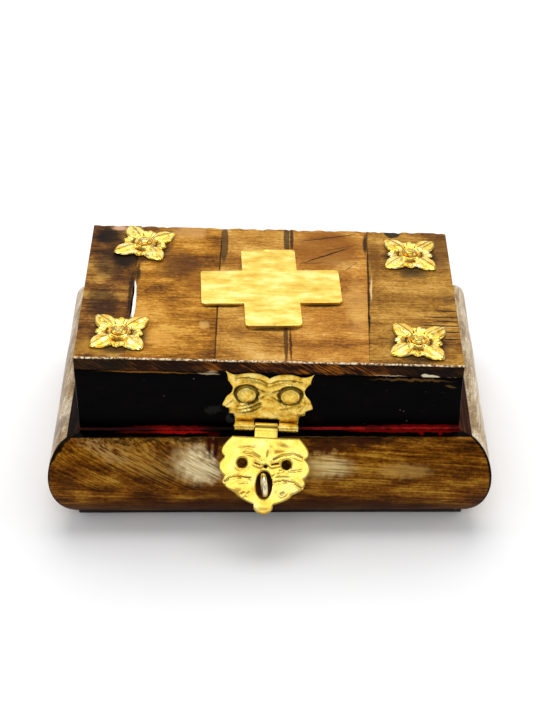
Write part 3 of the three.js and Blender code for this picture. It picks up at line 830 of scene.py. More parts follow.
rim = {"cuts": 30, "soften": 0.3, "uneven": 0.1, "scale": 9}


def makeRim(name, turn, look):
    section = [Vector(point) for point in
               ((-wallInset, rimTop), (-wallInset, rimBase), (ledge, rimBase), (ledge, rimTop))]
    bm = mitredRun(section, turn, rim["cuts"])
    softened(bm, rim["soften"], sharpEdges(bm, 60))
    wobble(bm, rim["uneven"], rim["scale"], seed=turn + 3)
    finishPiece("ledge_" + name, bm, look, "rim_" + name)


footBoard = {"cuts": 12, "soften": 0.4, "uneven": 0.12, "scale": 6}


def makeFootBoard(look):
    bm = copyOf("base_board")
    edges = [edge for edge in bm.edges if edge.calc_length() > 8]
    bmesh.ops.subdivide_edges(bm, edges=edges, cuts=footBoard["cuts"], use_grid_fill=True)
    softened(bm, footBoard["soften"], sharpEdges(bm, 60))
    wobble(bm, footBoard["uneven"], footBoard["scale"])
    finishPiece("foot_board", bm, look, "base_board")


strip = {"wander": 0.28, "scale": 3.2, "cuts": 90}


def makeFeltStrip(name, node, look):
    # A glued strip whose free edge wanders in and out
    bm = copyOf(node)
    longest = max(edge.calc_length() for edge in bm.edges)
    edges = [edge for edge in bm.edges if edge.calc_length() > longest * 0.9]
    bmesh.ops.subdivide_edges(bm, edges=edges, cuts=strip["cuts"], use_grid_fill=True)
    middle = sum((vert.co for vert in bm.verts), Vector()) / len(bm.verts)
    for vert in bm.verts:
        push = noise.noise(Vector((vert.co.x, vert.co.y, 0)) / strip["scale"]) * strip["wander"]
        away = vert.co - middle
        axis = 1 if longest > 100 else 0
        vert.co[axis] += push if away[axis] > 0 else -push
    finishPiece(name, bm, look, node)


# Lid

lidBoard = {"cuts": 40, "rows": 8, "soften": 0.35, "uneven": 0.14, "scale": 11}


def makeLidBoard(name, node, look, axis):
    # A lid wall whose top follows the roof; axis is the way it is long
    low, high = span(node)
    slope = math.tan(roofPitch)
    cornersX = (low.x, high.x)
    tops = [seat - slope * x for x in cornersX]
    shape = [(low.x, low.y, low.z), (high.x, low.y, low.z), (high.x, low.y, tops[1]),
             (low.x, low.y, tops[0])]
    bm = prism(shape, (0, high.y - low.y, 0))
    runs = [edge for edge in bm.edges
            if abs(edge.verts[0].co[axis] - edge.verts[1].co[axis]) > 20]
    bmesh.ops.subdivide_edges(bm, edges=runs, cuts=lidBoard["cuts"], use_grid_fill=True)
    rises = [edge for edge in bm.edges if abs(edge.verts[0].co.z - edge.verts[1].co.z) > 15]
    bmesh.ops.subdivide_edges(bm, edges=rises, cuts=lidBoard["rows"], use_grid_fill=True)
    softened(bm, lidBoard["soften"], sharpEdges(bm, 60))
    wobble(bm, lidBoard["uneven"], lidBoard["scale"], seed=axis)
    finishPiece(name, bm, look, node)


slab = {
    "cell": 1.6,
    "ragged": 1.3,  # depth of the chips out of the rear edge
    "wander": 0.16,  # how far a joint strays from its line
    "close": 0.11,  # how far each side reaches into the seam
    "arris": 0.45,
    "soften": 0.2,
    "uneven": 0.14,
    "gapAt": -6.5,  # middle of the open stretch in the first joint
    "gapHalf": 12,
    "gapWide": 0.35,
}


def slabCorners(node):
    points = roofPoints(node)
    front = [point.x for point in points if point.y < -halfDepth + 0.05]
    rear = [point.x for point in points if point.y > halfDepth - 0.05]
    heights = [point.z for point in points]
    return min(front), max(front), min(rear), max(rear), min(heights), max(heights)


def jointStray(joint, y):
    return slab["wander"] * noise.noise(Vector((joint * 9.1, y / 5, 0)))


def gapAt(joint, y):
    if joint != 1:
        return 0
    away = abs(y - slab["gapAt"])
    return slab["gapWide"] * (1 - smoothstep(away, slab["gapHalf"] * 0.5, slab["gapHalf"]))


def makeSlab(number, looks):
    node = "bone_slab_%d" % number
    frontLeft, frontRight, rearLeft, rearRight, low, high = slabCorners(node)
    wide = max(6, round((frontRight - frontLeft) / slab["cell"]))
    deep = round(2 * halfDepth / slab["cell"])
    bm = bmesh.new()
    bmesh.ops.create_grid(bm, x_segments=wide, y_segments=deep, size=0.5)
    for vert in bm.verts:
        s, t = vert.co.x + 0.5, vert.co.y + 0.5
        y = (2 * t - 1) * halfDepth
        left = frontLeft + (rearLeft - frontLeft) * t
        right = frontRight + (rearRight - frontRight) * t
        if number > 1:
            left += jointStray(number - 1, y) + gapAt(number - 1, y) - slab["close"]
        if number < 5:
            right += jointStray(number, y) - gapAt(number, y) + slab["close"]
        if t > 0.999:
            bite = noise.noise(Vector((left + (right - left) * s, number * 3, 0)) / 2.6)
            fine = noise.noise(Vector((left + (right - left) * s, number * 5, 0)) / 0.9)
            y -= slab["ragged"] * max(0, bite + 0.15 + 0.4 * fine)
        top = high + slab["uneven"] * noise.noise(Vector((left + s * 20, y, number * 4)) / 13)
        vert.co = (left + (right - left) * s, y, top)
    lower = grown(bm, bm.faces[:], (0, 0, low - high))
    for vert in lower:
        vert.co.z = low
    bmesh.ops.recalc_face_normals(bm, faces=bm.faces)
    middle = (low + high) / 2
    front = sharpEdges(bm, 50, lambda edge: all(v.co.z > middle and v.co.y < -halfDepth + 0.1
                                                for v in edge.verts))
    softened(bm, slab["arris"], front, segments=2, material=2)
    others = sharpEdges(bm, 50, lambda edge: all(v.co.z > middle and v.co.y > -halfDepth + 0.6
                                                 for v in edge.verts))
    softened(bm, slab["soften"], others, segments=2)
    bm.normal_update()
    outerX = halfLength - 0.3
    for face in bm.faces:
        centre = face.calc_center_median()
        outerEnd = abs(centre.x) > outerX and abs(face.normal.x) > 0.8
        if face.material_index != 2 and (face.normal.y < -0.8 or outerEnd):
            face.material_index = 1
    finishPiece("slab_%d" % number, bm, looks, node, roofFrame)


crossPlate = {"corner": 1.3, "edge": 0.22, "bow": 0.12, "bowScale": 12, "cell": 1.5, "cuts": 17}


def makeCross(look):
    points = roofPoints("cross_plate")
    low = min(point.z for point in points)
    high = max(point.z for point in points)
    bm = copyOf("cross_plate")
    bmesh.ops.transform(bm, matrix=roofFrame.inverted(), verts=bm.verts)
    corners = [edge for edge in bm.edges if abs(edge.verts[0].co.z - edge.verts[1].co.z) > 0.5]
    middle = sum(points, Vector()) / len(points)
    outer = sorted(corners, key=lambda edge: (edge.verts[0].co - middle).length)[4:]
    softened(bm, crossPlate["corner"], outer, segments=5)
    cuts = crossPlate["cuts"]
    for way in (Vector((1, 0, 0)), Vector((0, 1, 0))):
        for i in range(-cuts, cuts + 1):
            bmesh.ops.bisect_plane(bm, geom=bm.verts[:] + bm.edges[:] + bm.faces[:], dist=1e-4,
                                   plane_co=middle + way * i * crossPlate["cell"], plane_no=way)
    rim = sharpEdges(bm, 60, lambda edge: all(v.co.z > (low + high) / 2 for v in edge.verts))
    softened(bm, crossPlate["edge"], rim, segments=2)
    for vert in bm.verts:
        spot = Vector((vert.co.x, vert.co.y, 0)) / crossPlate["bowScale"]
        vert.co.z += crossPlate["bow"] * noise.noise(spot)
    finishPiece("cross", bm, look, "cross_plate", roofFrame)


rosette = {
    "square": 17.7,
    "core": 7.9,
    "lobe": 0.4,
    "lobes": 12,
    "leafAngle": 0.52,
    "leafFoot": 3.2,
    "leafLong": 9.6,
    "leafRise": 0.95,
    "leafWide": 3.6,
    "ribs": 0.13,
    "scallops": [(0, 6.9, 1.15), (-0.24, 6.5, 0.95)],  # angle off the side's middle, reach, radius
    "scallopRise": 0.62,
    "bossRadius": 3.75,
    "bossRise": 0.72,
    "bossLip": 0.28,
    "bossDip": 0.3,
    "moat": 0.3,
    "dent": 0.1,
    "hole": 0.95,
    "rings": 34,
    "turns": 180,
    "sheet": 0.3,
    "base": 0.3,
    "turnDown": 0.28,
    "turnOf": {"front_left": -3, "rear_left": -14, "rear_right": -1.5, "front_right": -6},
}


def fromDiagonal(angle):
    # How far an angle is from the nearest corner of the square, with its sign
    off = (angle - math.pi / 4) % (math.pi / 2)
    return off - math.pi / 2 if off > math.pi / 4 else off


def rosetteHeight(radius, angle, edge, seed):
    # Height of the stamped sheet: leaves to the corners, scallops between them, a boss in the middle
    off = fromDiagonal(angle)
    along, aside = radius * math.cos(off), radius * math.sin(off)
    share = min(1, max(0.001, (along - rosette["leafFoot"]) / rosette["leafLong"]))
    width = rosette["leafWide"] * math.sin(math.pi * share ** 0.9) ** 0.75 + 0.05
    inside = max(0, 1 - (aside / width) ** 2) ** 0.5
    height = rosette["leafRise"] * inside * (1 - 0.35 * share)
    height += rosette["ribs"] * math.cos(2 * math.pi * 1.2 * aside / width) * inside
    side = abs(off) - math.pi / 4
    for place, reach, round in rosette["scallops"]:
        dx = radius * math.cos(side - place) - reach
        dy = radius * math.sin(side - place)
        scallop = rosette["scallopRise"] * math.exp(-((dx * dx * 0.6 + dy * dy) / round ** 2) ** 1.5)
        height = max(height, scallop)
    rim = smoothstep(radius, rosette["bossRadius"] + 0.45, rosette["bossRadius"] - 0.15)
    boss = rosette["bossRise"] + rosette["bossLip"] * bump(radius - rosette["bossRadius"] + 0.45, 0.3)
    boss -= rosette["bossDip"] * smoothstep(radius, 2.9, 2.2)
    height = height * (1 - rim) + boss * rim
    height -= rosette["moat"] * bump(radius - rosette["bossRadius"] - 0.5, 0.35)
    height += rosette["dent"] * noise.noise(Vector((along, aside, seed)) / 1.8)
    return height - rosette["turnDown"] * smoothstep(edge, 0.93, 1)


def makeRosette(name, look, seed):
    base = min(point.z for point in roofPoints("rosette_" + name))
    pinPoints = roofPoints("rosette_pin_" + name)
    centre = sum(pinPoints, Vector()) / len(pinPoints)
    bm = bmesh.new()
    count = rosette["rings"]
    chain(bm, [(i / count, 0, 0) for i in range(1, count + 1)])
    sweptRound(bm, rosette["turns"], close=1e-4)
    crevice = bm.verts.layers.float.new("crevice")
    tip = rosette["square"] / math.sqrt(2) + 0.3
    for vert in bm.verts:
        angle = math.atan2(vert.co.y, vert.co.x) % (2 * math.pi)
        outward = (fromAxis(vert) * count - 1) / (count - 1)
        leaf = max(0, 1 - math.hypot(fromDiagonal(angle), 0.03) / rosette["leafAngle"])
        lobe = rosette["lobe"] * math.cos(rosette["lobes"] * angle) * (1 - leaf)
        reach = rosette["core"] + lobe + (tip - rosette["core"]) * leaf
        radius = rosette["hole"] + (reach - rosette["hole"]) * outward
        height = rosetteHeight(radius, angle, outward, seed)
        vert[crevice] = smoothstep(0.25 - height, 0, 0.38)
        vert.co = (radius * math.cos(angle), radius * math.sin(angle), rosette["base"] + height)
    thickened(bm, rosette["sheet"], lambda face: face.normal.z)
    turn = swing(rosette["turnOf"][name], "Z")
    place = roofFrame @ Matrix.Translation((centre.x, centre.y, base)) @ turn
    finishPiece("rosette_leaf_" + name, bm, look, "rosette_" + name, place)


pin = {"head": 2.5, "rise": 1.35, "shank": 0.7, "length": 5.2, "lip": 0.25, "ringAt": 1.5, "ringRise": 0.16,
       "dimple": 0.2}


def nailProfile(head, rise, shank, length, lip, flatness=0.6):
    # From the point, up the shank and over the head
    profile = [(0, -length), (shank * 0.5, -length + shank), (shank, -length + 2.5 * shank), (shank, 0)]
    profile.append((head - lip * 0.4, 0))
    for i in range(9):
        angle = i / 8 * math.pi / 2
        radius = head * math.cos(angle) ** flatness if i < 8 else 0
        profile.append((radius, lip * 0.5 + (rise - lip * 0.5) * math.sin(angle)))
    return profile


def makeRosettePin(name, look):
    node = "rosette_pin_" + name
    points = roofPoints(node)
    middle = sum(points, Vector()) / len(points)
    top = max(point.z for point in points)
    bm = spun(nailProfile(pin["head"], pin["rise"], pin["shank"], pin["length"], pin["lip"]), 40)
    crevice = bm.verts.layers.float.new("crevice")
    for vert in bm.verts:
        away = fromAxis(vert)
        if vert.co.z > 0:
            vert.co.z += pin["ringRise"] * bump(away - pin["ringAt"], 0.3)
            vert.co.z -= pin["dimple"] * bump(away, 0.7)
        vert[crevice] = 1 if vert.co.z < 0.1 else 0.5 * bump(away - 1, 0.3)
    place = roofFrame @ Matrix.Translation((middle.x, middle.y, top - pin["rise"]))
    finishPiece("boss_" + name, bm, look, node, place)


# Clasp

plate = {
    "cell": 0.3,
    "base": 0.62,
    "sheet": 0.4,
    "edge": 0.5,
    "turnDown": 0.14,
    "beaten": 0.12,
    "beatScale": 2.4,
    # Half outline from the notch between the ears down to the knuckle: x, height, bow
    "half": [
        (0, 20.1, 0.35), (4.2, 22, 0.35), (9.4, 21.6, -0.2), (12.2, 21.3, -0.15), (14.8, 22.7, -0.25),
        (13.9, 18.6, -0.2), (12.1, 15.6, -0.35), (13.2, 12.6, 0.25), (14.6, 10, 0.15), (15.3, 7.6, 0.1),
        (13.2, 6.4, -0.2), (13, 4.4, 0), (11.3, 3.9, 0), (10.9, 2.6, 0), (10.8, 0.4, 0),
    ],
    "notchHalf": 4.2,
    "notchTop": 2.1,
    "swells": [
        (0, 12.4, 1.3, 3.4, 0.55), (0, 8.2, 2.4, 1.4, 0.34), (-7, 17.2, 5, 1.1, 0.2),
        (7, 17.1, 5, 1.1, 0.2), (-10.4, 6.6, 2.6, 1.8, 0.16), (10.6, 6.4, 2.6, 1.8, 0.16),
        (-4.2, 20.6, 3, 0.8, 0.16), (4.6, 20.4, 3, 0.8, 0.16),
    ],
    "grooves": [
        {"path": [(-11.4, 19.6), (-7, 20.2), (-3, 19.3), (0, 17.7), (3, 19.2), (6.6, 19.8), (11, 19)],
         "depth": 0.34, "width": 0.26},
        {"path": [(-7.6, 18.8), (-3.4, 18.3), (0, 16.7), (3.4, 18.1), (7.4, 18.3)], "depth": 0.24,
         "width": 0.22},
        {"path": [(-4, 15.6), (-1.6, 14.4), (1.8, 11.8), (4.4, 9.8)], "depth": 0.36},
        {"path": [(3.6, 15.2), (1.4, 14.2), (-2.4, 11.6), (-4.4, 10.6)], "depth": 0.34},
        {"path": [(-10.2, 7.4), (-6.6, 8.2), (-3.2, 10.6)], "depth": 0.42},
        {"path": [(-9.6, 5.9), (-6, 6.9), (-2.4, 9.4)], "depth": 0.42},
        {"path": [(-8.4, 4.6), (-5.2, 5.5), (-2.2, 7.8)], "depth": 0.38},
        {"path": [(11.2, 8.8), (8.4, 7.8), (4.4, 6.6)], "depth": 0.2},
        {"path": [(-12.6, 12.6), (-11.8, 9.8), (-13.8, 7.6)], "depth": 0.18},
        {"path": [(12.2, 12.2), (12.6, 9.4), (11.2, 6.2)], "depth": 0.22},
    ],
    "rings": [
        (-7.4, 12.95, 3.8, 0.62, -0.55), (7.4, 12.95, 3.8, 0.62, -0.55),
        (-7.4, 12.95, 4.9, 0.4, 0.16), (7.4, 12.95, 4.9, 0.4, 0.16),
    ],
}

barrel = {
    "radius": 1.7,
    "sheet": 0.45,
    "pin": 0.8,
    "centreHalf": 3.9,
    "endLow": 4.25,
    "endHigh": 10.8,
    "plateRoll": (4, -300),  # angles at which the roll starts and ends
    "flapRoll": (190, -110),
    "lead": 1.6,  # height up the plate at which its sheet turns to the roll
    "lines": [(1.6, 0.5, 1), (-0.2, 0.5, 1), (-1.5, 0.16, 0.6)],  # painted shade and reflection on the knuckle: height, half width, share
}


def barrelProfile(fromAngle, toAngle, steps=60):
    # A roll about the pin, in (y, z)
    profile = []
    for i in range(steps + 1):
        angle = math.radians(fromAngle + (toAngle - fromAngle) * i / steps)
        profile.append((barrel["radius"] * math.cos(angle), barrel["radius"] * math.sin(angle)))
    return profile


def shadeRoll(bm):
    # Painted shade and reflection: dark lines along the middle knuckle and its strap, for the dark gap and dark
    # surroundings the roll mirrors
    crevice = bm.verts.layers.float["crevice"]
    for vert in bm.verts:
        if abs(vert.co.x) > barrel["centreHalf"] + 0.1 or vert.co.z < flap["start"][1]:
            continue
        for height, width, share in barrel["lines"]:
            line = share * math.exp(-((vert.co.z - height) / width) ** 4)
            vert[crevice] = max(vert[crevice], line)


def makeClaspPlate(look):
    half = curveThrough(plate["half"], 5)
    low = plate["half"][-1][1]
    notch = [Vector((plate["notchHalf"], low)), Vector((plate["notchHalf"], plate["notchTop"]))]
    right = half + notch
    outline = right + [Vector((-point.x, point.y)) for point in reversed(right[1:])]
    bm = stampedSheet(outline, [], plate)
    back = claspReach - plate["base"] + plate["sheet"]
    roll = [(back, barrel["lead"])] + barrelProfile(*barrel["plateRoll"])
    for way in (-1, 1):
        ends = sorted((way * barrel["endLow"], way * barrel["endHigh"]))
        rolled = rolledSheet(roll, ends[0], ends[1], barrel["sheet"])
        bmesh.ops.translate(rolled, vec=(0, -claspReach, 0), verts=rolled.verts)
        merged(bm, rolled)
    finishPiece("owl_plate", bm, look, "clasp_plate", claspFrame)


claspNail = {
    "x": 7.4,
    "height": 12.75,
    "seat": 0.25,
    "shape": {"head": 3.3, "rise": 0.95, "shank": 0.8, "length": 3.6, "lip": 0.3, "flatness": 0.35},
    "beaten": 0.14,
    "groove": 0.1,
    "grooveAt": 2.5,
    "grooveWide": 0.25,
}


def makeClaspNail(name, way, look):
    bm = spun(nailProfile(**claspNail["shape"]), 48)
    crevice = bm.verts.layers.float.new("crevice")
    for vert in bm.verts:
        away = fromAxis(vert)
        groove = bump(away - claspNail["grooveAt"], claspNail["grooveWide"])
        if vert.co.z > 0.2:
            beat = noise.noise(Vector((vert.co.x * 0.9, vert.co.y * 0.9, way * 3)))
            vert.co.z += claspNail["beaten"] * beat - claspNail["groove"] * groove
            vert[crevice] = max(smoothstep(-beat, 0.05, 0.6) * 0.5, 0.45 * groove)
        # painted shade: the head's edge is darkened, for the shadow in the gap round it
        if away > claspNail["shape"]["head"] * 0.97:
            vert[crevice] = 0.8
    at = (way * claspNail["x"], claspNail["seat"] - plate["base"], claspNail["height"])
    place = claspFrame @ Matrix.Translation(at) @ swing(90, "X")
    finishPiece("eye_nail_" + name, bm, look, "clasp_nail_" + name, place)


def makeClaspPin(look):
    low, high = span("clasp_pin")
    half = (high.x - low.x) / math.cos(claspTurn) / 2
    radius = barrel["pin"]
    bm = spun([(0, -half), (radius * 0.7, -half + 0.05), (radius, -half + 0.3), (radius, half - 0.3),
               (radius * 0.7, half - 0.05), (0, half)], 28)
    place = claspFrame @ Matrix.Translation((0, -claspReach, 0)) @ swing(90, "Y")
    finishPiece("knuckle_pin", bm, look, "clasp_pin", place)


flap = {
    "lean": 45.5,
    "cell": 0.3,
    "base": 2.05,
    "sheet": 0.42,
    "edge": 0.45,
    "turnDown": 0.14,
    "beaten": 0.2,
    "beatScale": 4.5,
    "start": (11.4, -3.7),
    "strap": (0.12, -0.7),  # where the knuckle's strap ends, behind the face and below the start
    # Crown and valley of each lobe down one side
    "lobes": [
        ((14.7, -8), (13.7, -10.8)), ((15.4, -14.2), (13.5, -17.5)), ((13.6, -20.2), (9.7, -22.9)),
        ((7.6, -24.8), (3.3, -26.5)), ((2.6, -28.8), (0, -29.9)),
    ],
    "holes": [(-7.8, -12.7, 1.75, 1.75), (7.4, -12.8, 1.75, 1.75), (0.3, -13.6, 0.75, 0.6),
              (0, -19.9, 2.9, 4.75)],
    "swells": [
        (-6.4, -8.2, 3.8, 1.5, 0.3), (7, -7.6, 4.4, 1.6, 0.3), (0, -10.2, 1.3, 2.4, 0.24),
        (-9.8, -20.8, 3.4, 2, 0.2), (9.6, -21.4, 3.4, 2, 0.2), (0, -27, 3, 1.3, 0.12),
        (12, -14.6, 1.7, 2.6, 0.22), (-12.2, -14.6, 1.6, 2.4, 0.2), (5.6, -16.2, 3, 1, 0.26),
        (-5.4, -16, 2.6, 0.9, 0.16),
    ],
    "grooves": [
        {"path": [(-13.4, -19.3), (-11.6, -17.9), (-8.8, -17.3), (-4.6, -17.7)], "depth": 0.3,
         "width": 0.24},
        {"path": [(3.6, -18.8), (6.6, -18.2), (10, -18.5), (12.8, -20.4)], "depth": 0.3, "width": 0.24},
        {"path": [(-8.6, -19.6), (-5.4, -19.3)], "depth": 0.12, "width": 0.2},
        {"path": [(2.8, -17), (5.2, -14.9), (9.4, -14.9), (12.6, -14.2)], "depth": 0.14, "width": 0.24},
        {"path": [(-7, -9.2), (-4.4, -9.3), (-1.8, -10.6)], "depth": 0.2, "width": 0.26},
        {"path": [(-6.6, -8), (-4, -8.2)], "depth": 0.12, "width": 0.2},
        {"path": [(3, -11.2), (5.6, -10), (9.6, -9.2), (12.4, -10.2)], "depth": 0.26, "width": 0.32},
        {"path": [(-3.4, -12.5), (-1.7, -13.1)], "depth": 0.42, "width": 0.3},
        {"path": [(2.4, -12.9), (4.6, -12.4)], "depth": 0.46, "width": 0.34},
        {"path": [(-7.4, -23.4), (-6.6, -22.8)], "depth": 0.14, "width": 0.28},
        {"path": [(-5.6, -23.2), (-4.8, -22.6)], "depth": 0.12, "width": 0.24},
        {"path": [(6, -22.8), (6.6, -22.4)], "depth": 0.22, "width": 0.32},
        {"path": [(-1.6, -7.6), (0, -12), (1.9, -7.4)], "depth": 0.1, "width": 0.7},
    ],
    "rings": [(-7.8, -12.7, 2.4, 0.4, 0.1), (7.4, -12.8, 2.4, 0.4, 0.1)],
}


def makeFlap(look):
    half = [flap["start"]]
    for crown, valley in flap["lobes"]:
        start = Vector(half[-1])
        peak, end = Vector(crown), Vector(valley)
        handle = 2 * peak - (start + end) / 2
        for i in range(1, 9):
            t = i / 8
            half.append(tuple(start * (1 - t) ** 2 + handle * (2 * t * (1 - t)) + end * t * t))
    right = [Vector(point) for point in half]
    outline = right + [Vector((-point.x, point.y)) for point in reversed(right[:-1])]
    holes = []
    for x, z, wide, tall in flap["holes"]:
        holes.append([Vector((x + wide * math.cos(i * math.pi / 20), z + tall * math.sin(i * math.pi / 20)))
                      for i in range(40)])
    bm = stampedSheet(outline, holes, flap)
    foot = Vector((flap["strap"][0] - flap["base"], flap["start"][1] + flap["strap"][1]))
    roll = barrelProfile(*barrel["flapRoll"])
    roll = [tuple(foot.lerp(Vector(roll[0]), i / 24)) for i in range(24)] + roll
    strap = rolledSheet(roll, -barrel["centreHalf"], barrel["centreHalf"], barrel["sheet"])
    merged(bm, strap)
    shadeRoll(bm)
    place = claspFrame @ Matrix.Translation((0, -claspReach, 0)) @ swing(-flap["lean"], "X")
    finishPiece("face_flap", bm, look, "clasp_flap", place)


eye = {"ring": 3.2, "wire": 0.9, "shank": 0.8, "turn": 8, "spare": 0.1, "neck": 1.5, "point": 1}


def makeEye(look):
    low, high = span("clasp_eye")
    front = low.y + eye["ring"] + eye["wire"] + eye["spare"]
    centre = Vector(((low.x + high.x) / 2, front, (low.z + high.z) / 2))
    bm = bmesh.new()
    bmesh.ops.create_circle(bm, segments=20, radius=eye["wire"])
    bmesh.ops.transform(bm, matrix=Matrix.Translation((eye["ring"], 0, 0)) @ swing(90, "X"), verts=bm.verts)
    sweptRound(bm, 48)
    bmesh.ops.transform(bm, matrix=swing(eye["turn"], "Z") @ swing(90, "Y"), verts=bm.verts)
    reach = high.y - centre.y
    ring, thick = eye["ring"], eye["shank"]
    shank = spun([(0, ring), (thick * 1.2, ring), (thick, ring + eye["neck"]), (thick, reach - eye["point"]),
                  (0, reach)], 24)
    bmesh.ops.transform(shank, matrix=swing(-90, "X"), verts=shank.verts)
    merged(bm, shank)
    finishPiece("catch_eye", bm, look, "clasp_eye", Matrix.Translation(centre))


# Rear hinges

hinge = {"soften": 0.12, "pinSoften": 0.15, "nail": {"head": 1.1, "rise": 0.25, "shank": 0.5, "lip": 0.1}}


def makeHinge(name, look):
    for part in ("body", "lid"):
        node = "hinge_%s_%s_leaf" % (name, part)
        bm = copyOf(node)
        softened(bm, hinge["soften"], sharpEdges(bm, 50))
        finishPiece("leaf_%s_%s" % (name, part), bm, look, node)
    low, high = span("hinge_%s_pin" % name)
    half = (high.x - low.x) / 2
    radius = (high.z - low.z) / 2
    soft = hinge["pinSoften"]
    bm = spun([(0, -half), (radius * 0.8, -half), (radius, soft - half), (radius, half - soft),
               (radius * 0.8, half), (0, half)], 20)
    place = Matrix.Translation((low + high) / 2) @ swing(90, "Y")
    finishPiece("wire_%s" % name, bm, look, "hinge_%s_pin" % name, place)
    for part, over in (("body", 0), ("lid", 180)):
        for number in (1, 2):
            node = "hinge_%s_%s_nail_%d" % (name, part, number)
            low, high = span(node)
            middle = (low + high) / 2
            rise = hinge["nail"]["rise"]
            bm = spun(nailProfile(length=high.z - low.z - rise, **hinge["nail"]), 20)
            level = low.z + rise if over else high.z - rise
            place = Matrix.Translation((middle.x, middle.y, level)) @ swing(over, "X")
            finishPiece("tack_%s_%s_%d" % (name, part, number), bm, look, node, place)


def dress(node, look):
    piece = frame["nodes"][node]
    piece.material_slots[0].material = look


# Finishes for this box

slabTones = [
    {"tones": ("2a1404", "593407", "86541a", "b88a3c"), "lines": 0.5, "cloud": (13, 9, 9),
     "mix": (0.3, 0.5, 0.2), "marks": [
        slabMark((-59, 33), (9, 10), "100703", 0.95, 3, edge=0.7),
        slabMark((-57, 15), (8, 12), "1f0f04", 0.7, 3),
        slabMark((-52, 18), (5, 8), "170b03", 0.85, 2.5),
        slabMark((-58, -8), (7, 12), "241104", 0.7, 3),
        # painted shadow beside the open first joint
        slabMark((-48.5, -3), (0.9, 17), "0d0703", 0.8, 0.7),
        slabMark((-55, 37.6), (3.4, 2), "d6a98a", 0.8, 1),
        slabMark((-56, -33), (13, 6), "b9862f", 0.7, 3),
    ]},
    {"tones": ("522c05", "8d580c", "b67920", "d8a346"), "lines": 0.35, "marks": [
        slabMark((-32, 15), (11, 10), "57300a", 0.75, 4, turn=30),
        slabMark((-44, 38), (6, 4), "54340a", 0.8, 2),
        slabMark((-29, 36), (9, 6), "cf9c58", 0.6, 3),
        slabMark((-25, 4), (7, 9), "8a5212", 0.5, 4),
        slabMark((-44, -14), (4, 6), "d9a34c", 0.5, 2),
        slabMark((-38, -28), (7, 4), "dba046", 0.5, 2, turn=-12, edge=0.2),
        slabMark((-22, -20), (2.4, 3), "e5b465", 0.5, 1),
        slabMark((-17.7, 0), (0.5, 60), "241004", 0.85, 0.4, turn=-0.4),
        # a pale chipped edge along the open joint, painted near white as the light seen in the slit
        slabMark((-47.3, -6.5), (1.25, 12.5), "fffaf0", 1, 0.4, turn=1.5, edge=0.12),
        slabMark((-47.2, -20), (0.8, 7), "0d0703", 0.9, 0.6),
        slabMark((-46.6, 10), (1.2, 9), "1b0d04", 0.85, 0.8),
    ]},
    {"tones": ("7a4a12", "ab7527", "c7933f", "deb264"), "lines": 0.3, "marks": [
        slabMark((-16.4, 29), (1.7, 14), "463015", 0.85, 0.4, edge=0.3),
        slabMark((6.4, 32), (1.4, 11), "3a2a16", 0.85, 0.4, edge=0.3),
        slabMark((-10, -26), (3, 2.4), "8a5a22", 0.5, 1),
        slabMark((5.8, -29), (0.9, 14), "4d3013", 0.9, 0.5, turn=1, edge=0.4),
    ]},
    {"tones": ("734210", "a96d22", "c58a36", "dcab5c"), "lines": 0.45, "marks": [
        slabMark((21, 27), (16, 16), "854d10", 0.75, 4, edge=0.5),
        slabMark((20.6, 23), (13, 0.45), "1f0d03", 0.95, 0.5, turn=31, edge=0.4),
        slabMark((22, 34.5), (13.5, 0.4), "1f0d03", 0.9, 0.5, turn=15, edge=0.4),
        slabMark((26, 28), (10, 0.3), "331704", 0.8, 0.4, turn=22),
        slabMark((16, 18), (8, 0.35), "331704", 0.7, 0.4, turn=3),
        slabMark((29, 16), (6, 0.3), "331704", 0.6, 0.4, turn=50),
        slabMark((8.2, 33), (1.0, 11), "201208", 0.9, 0.4),
        slabMark((35.1, 31), (1.2, 9), "120a05", 0.9, 0.8, turn=-2),
        slabMark((31, -8), (6, 20), "dba75a", 0.4, 4),
        slabMark((7.4, -30), (0.6, 13), "2c1706", 0.9, 0.5, turn=1),
    ]},
    {"tones": ("532f09", "8f5f1c", "b2812f", "cf9f52"), "lines": 0.45, "fibre": (12, 0.4, 2), "marks": [
        slabMark((45.2, 38.4), (3.4, 3.6), "241c0e", 0.95, 0.8, edge=0.25),
        slabMark((51, 12.2), (8, 3), "4a3718", 0.75, 2.5),
        slabMark((62.6, -1.5), (4, 5), "3a1d06", 0.7, 2, streaky=True),
        *[slabMark((64 - long / 2, y), (long, 0.45), "120703", 0.95, 0.35, edge=0.4)
          for y, long in ((-9, 5), (-12.5, 8), (-15, 6), (-17.5, 9), (-21, 7), (-25, 4))],
        slabMark((38, 22), (3, 14), "643708", 0.65, 2),
        slabMark((36, 3), (0.5, 9), "e2bd82", 0.85, 0.5, turn=-3),
        slabMark((34.9, 4), (0.75, 46), "1a0c03", 0.9, 0.5, turn=-1.75),
        slabMark((34.2, -16), (1, 7), "0d0603", 0.95, 0.6, turn=-1.75),
        slabMark((62, 28), (6, 18), "5a3410", 0.7, 3),
    ]},
]

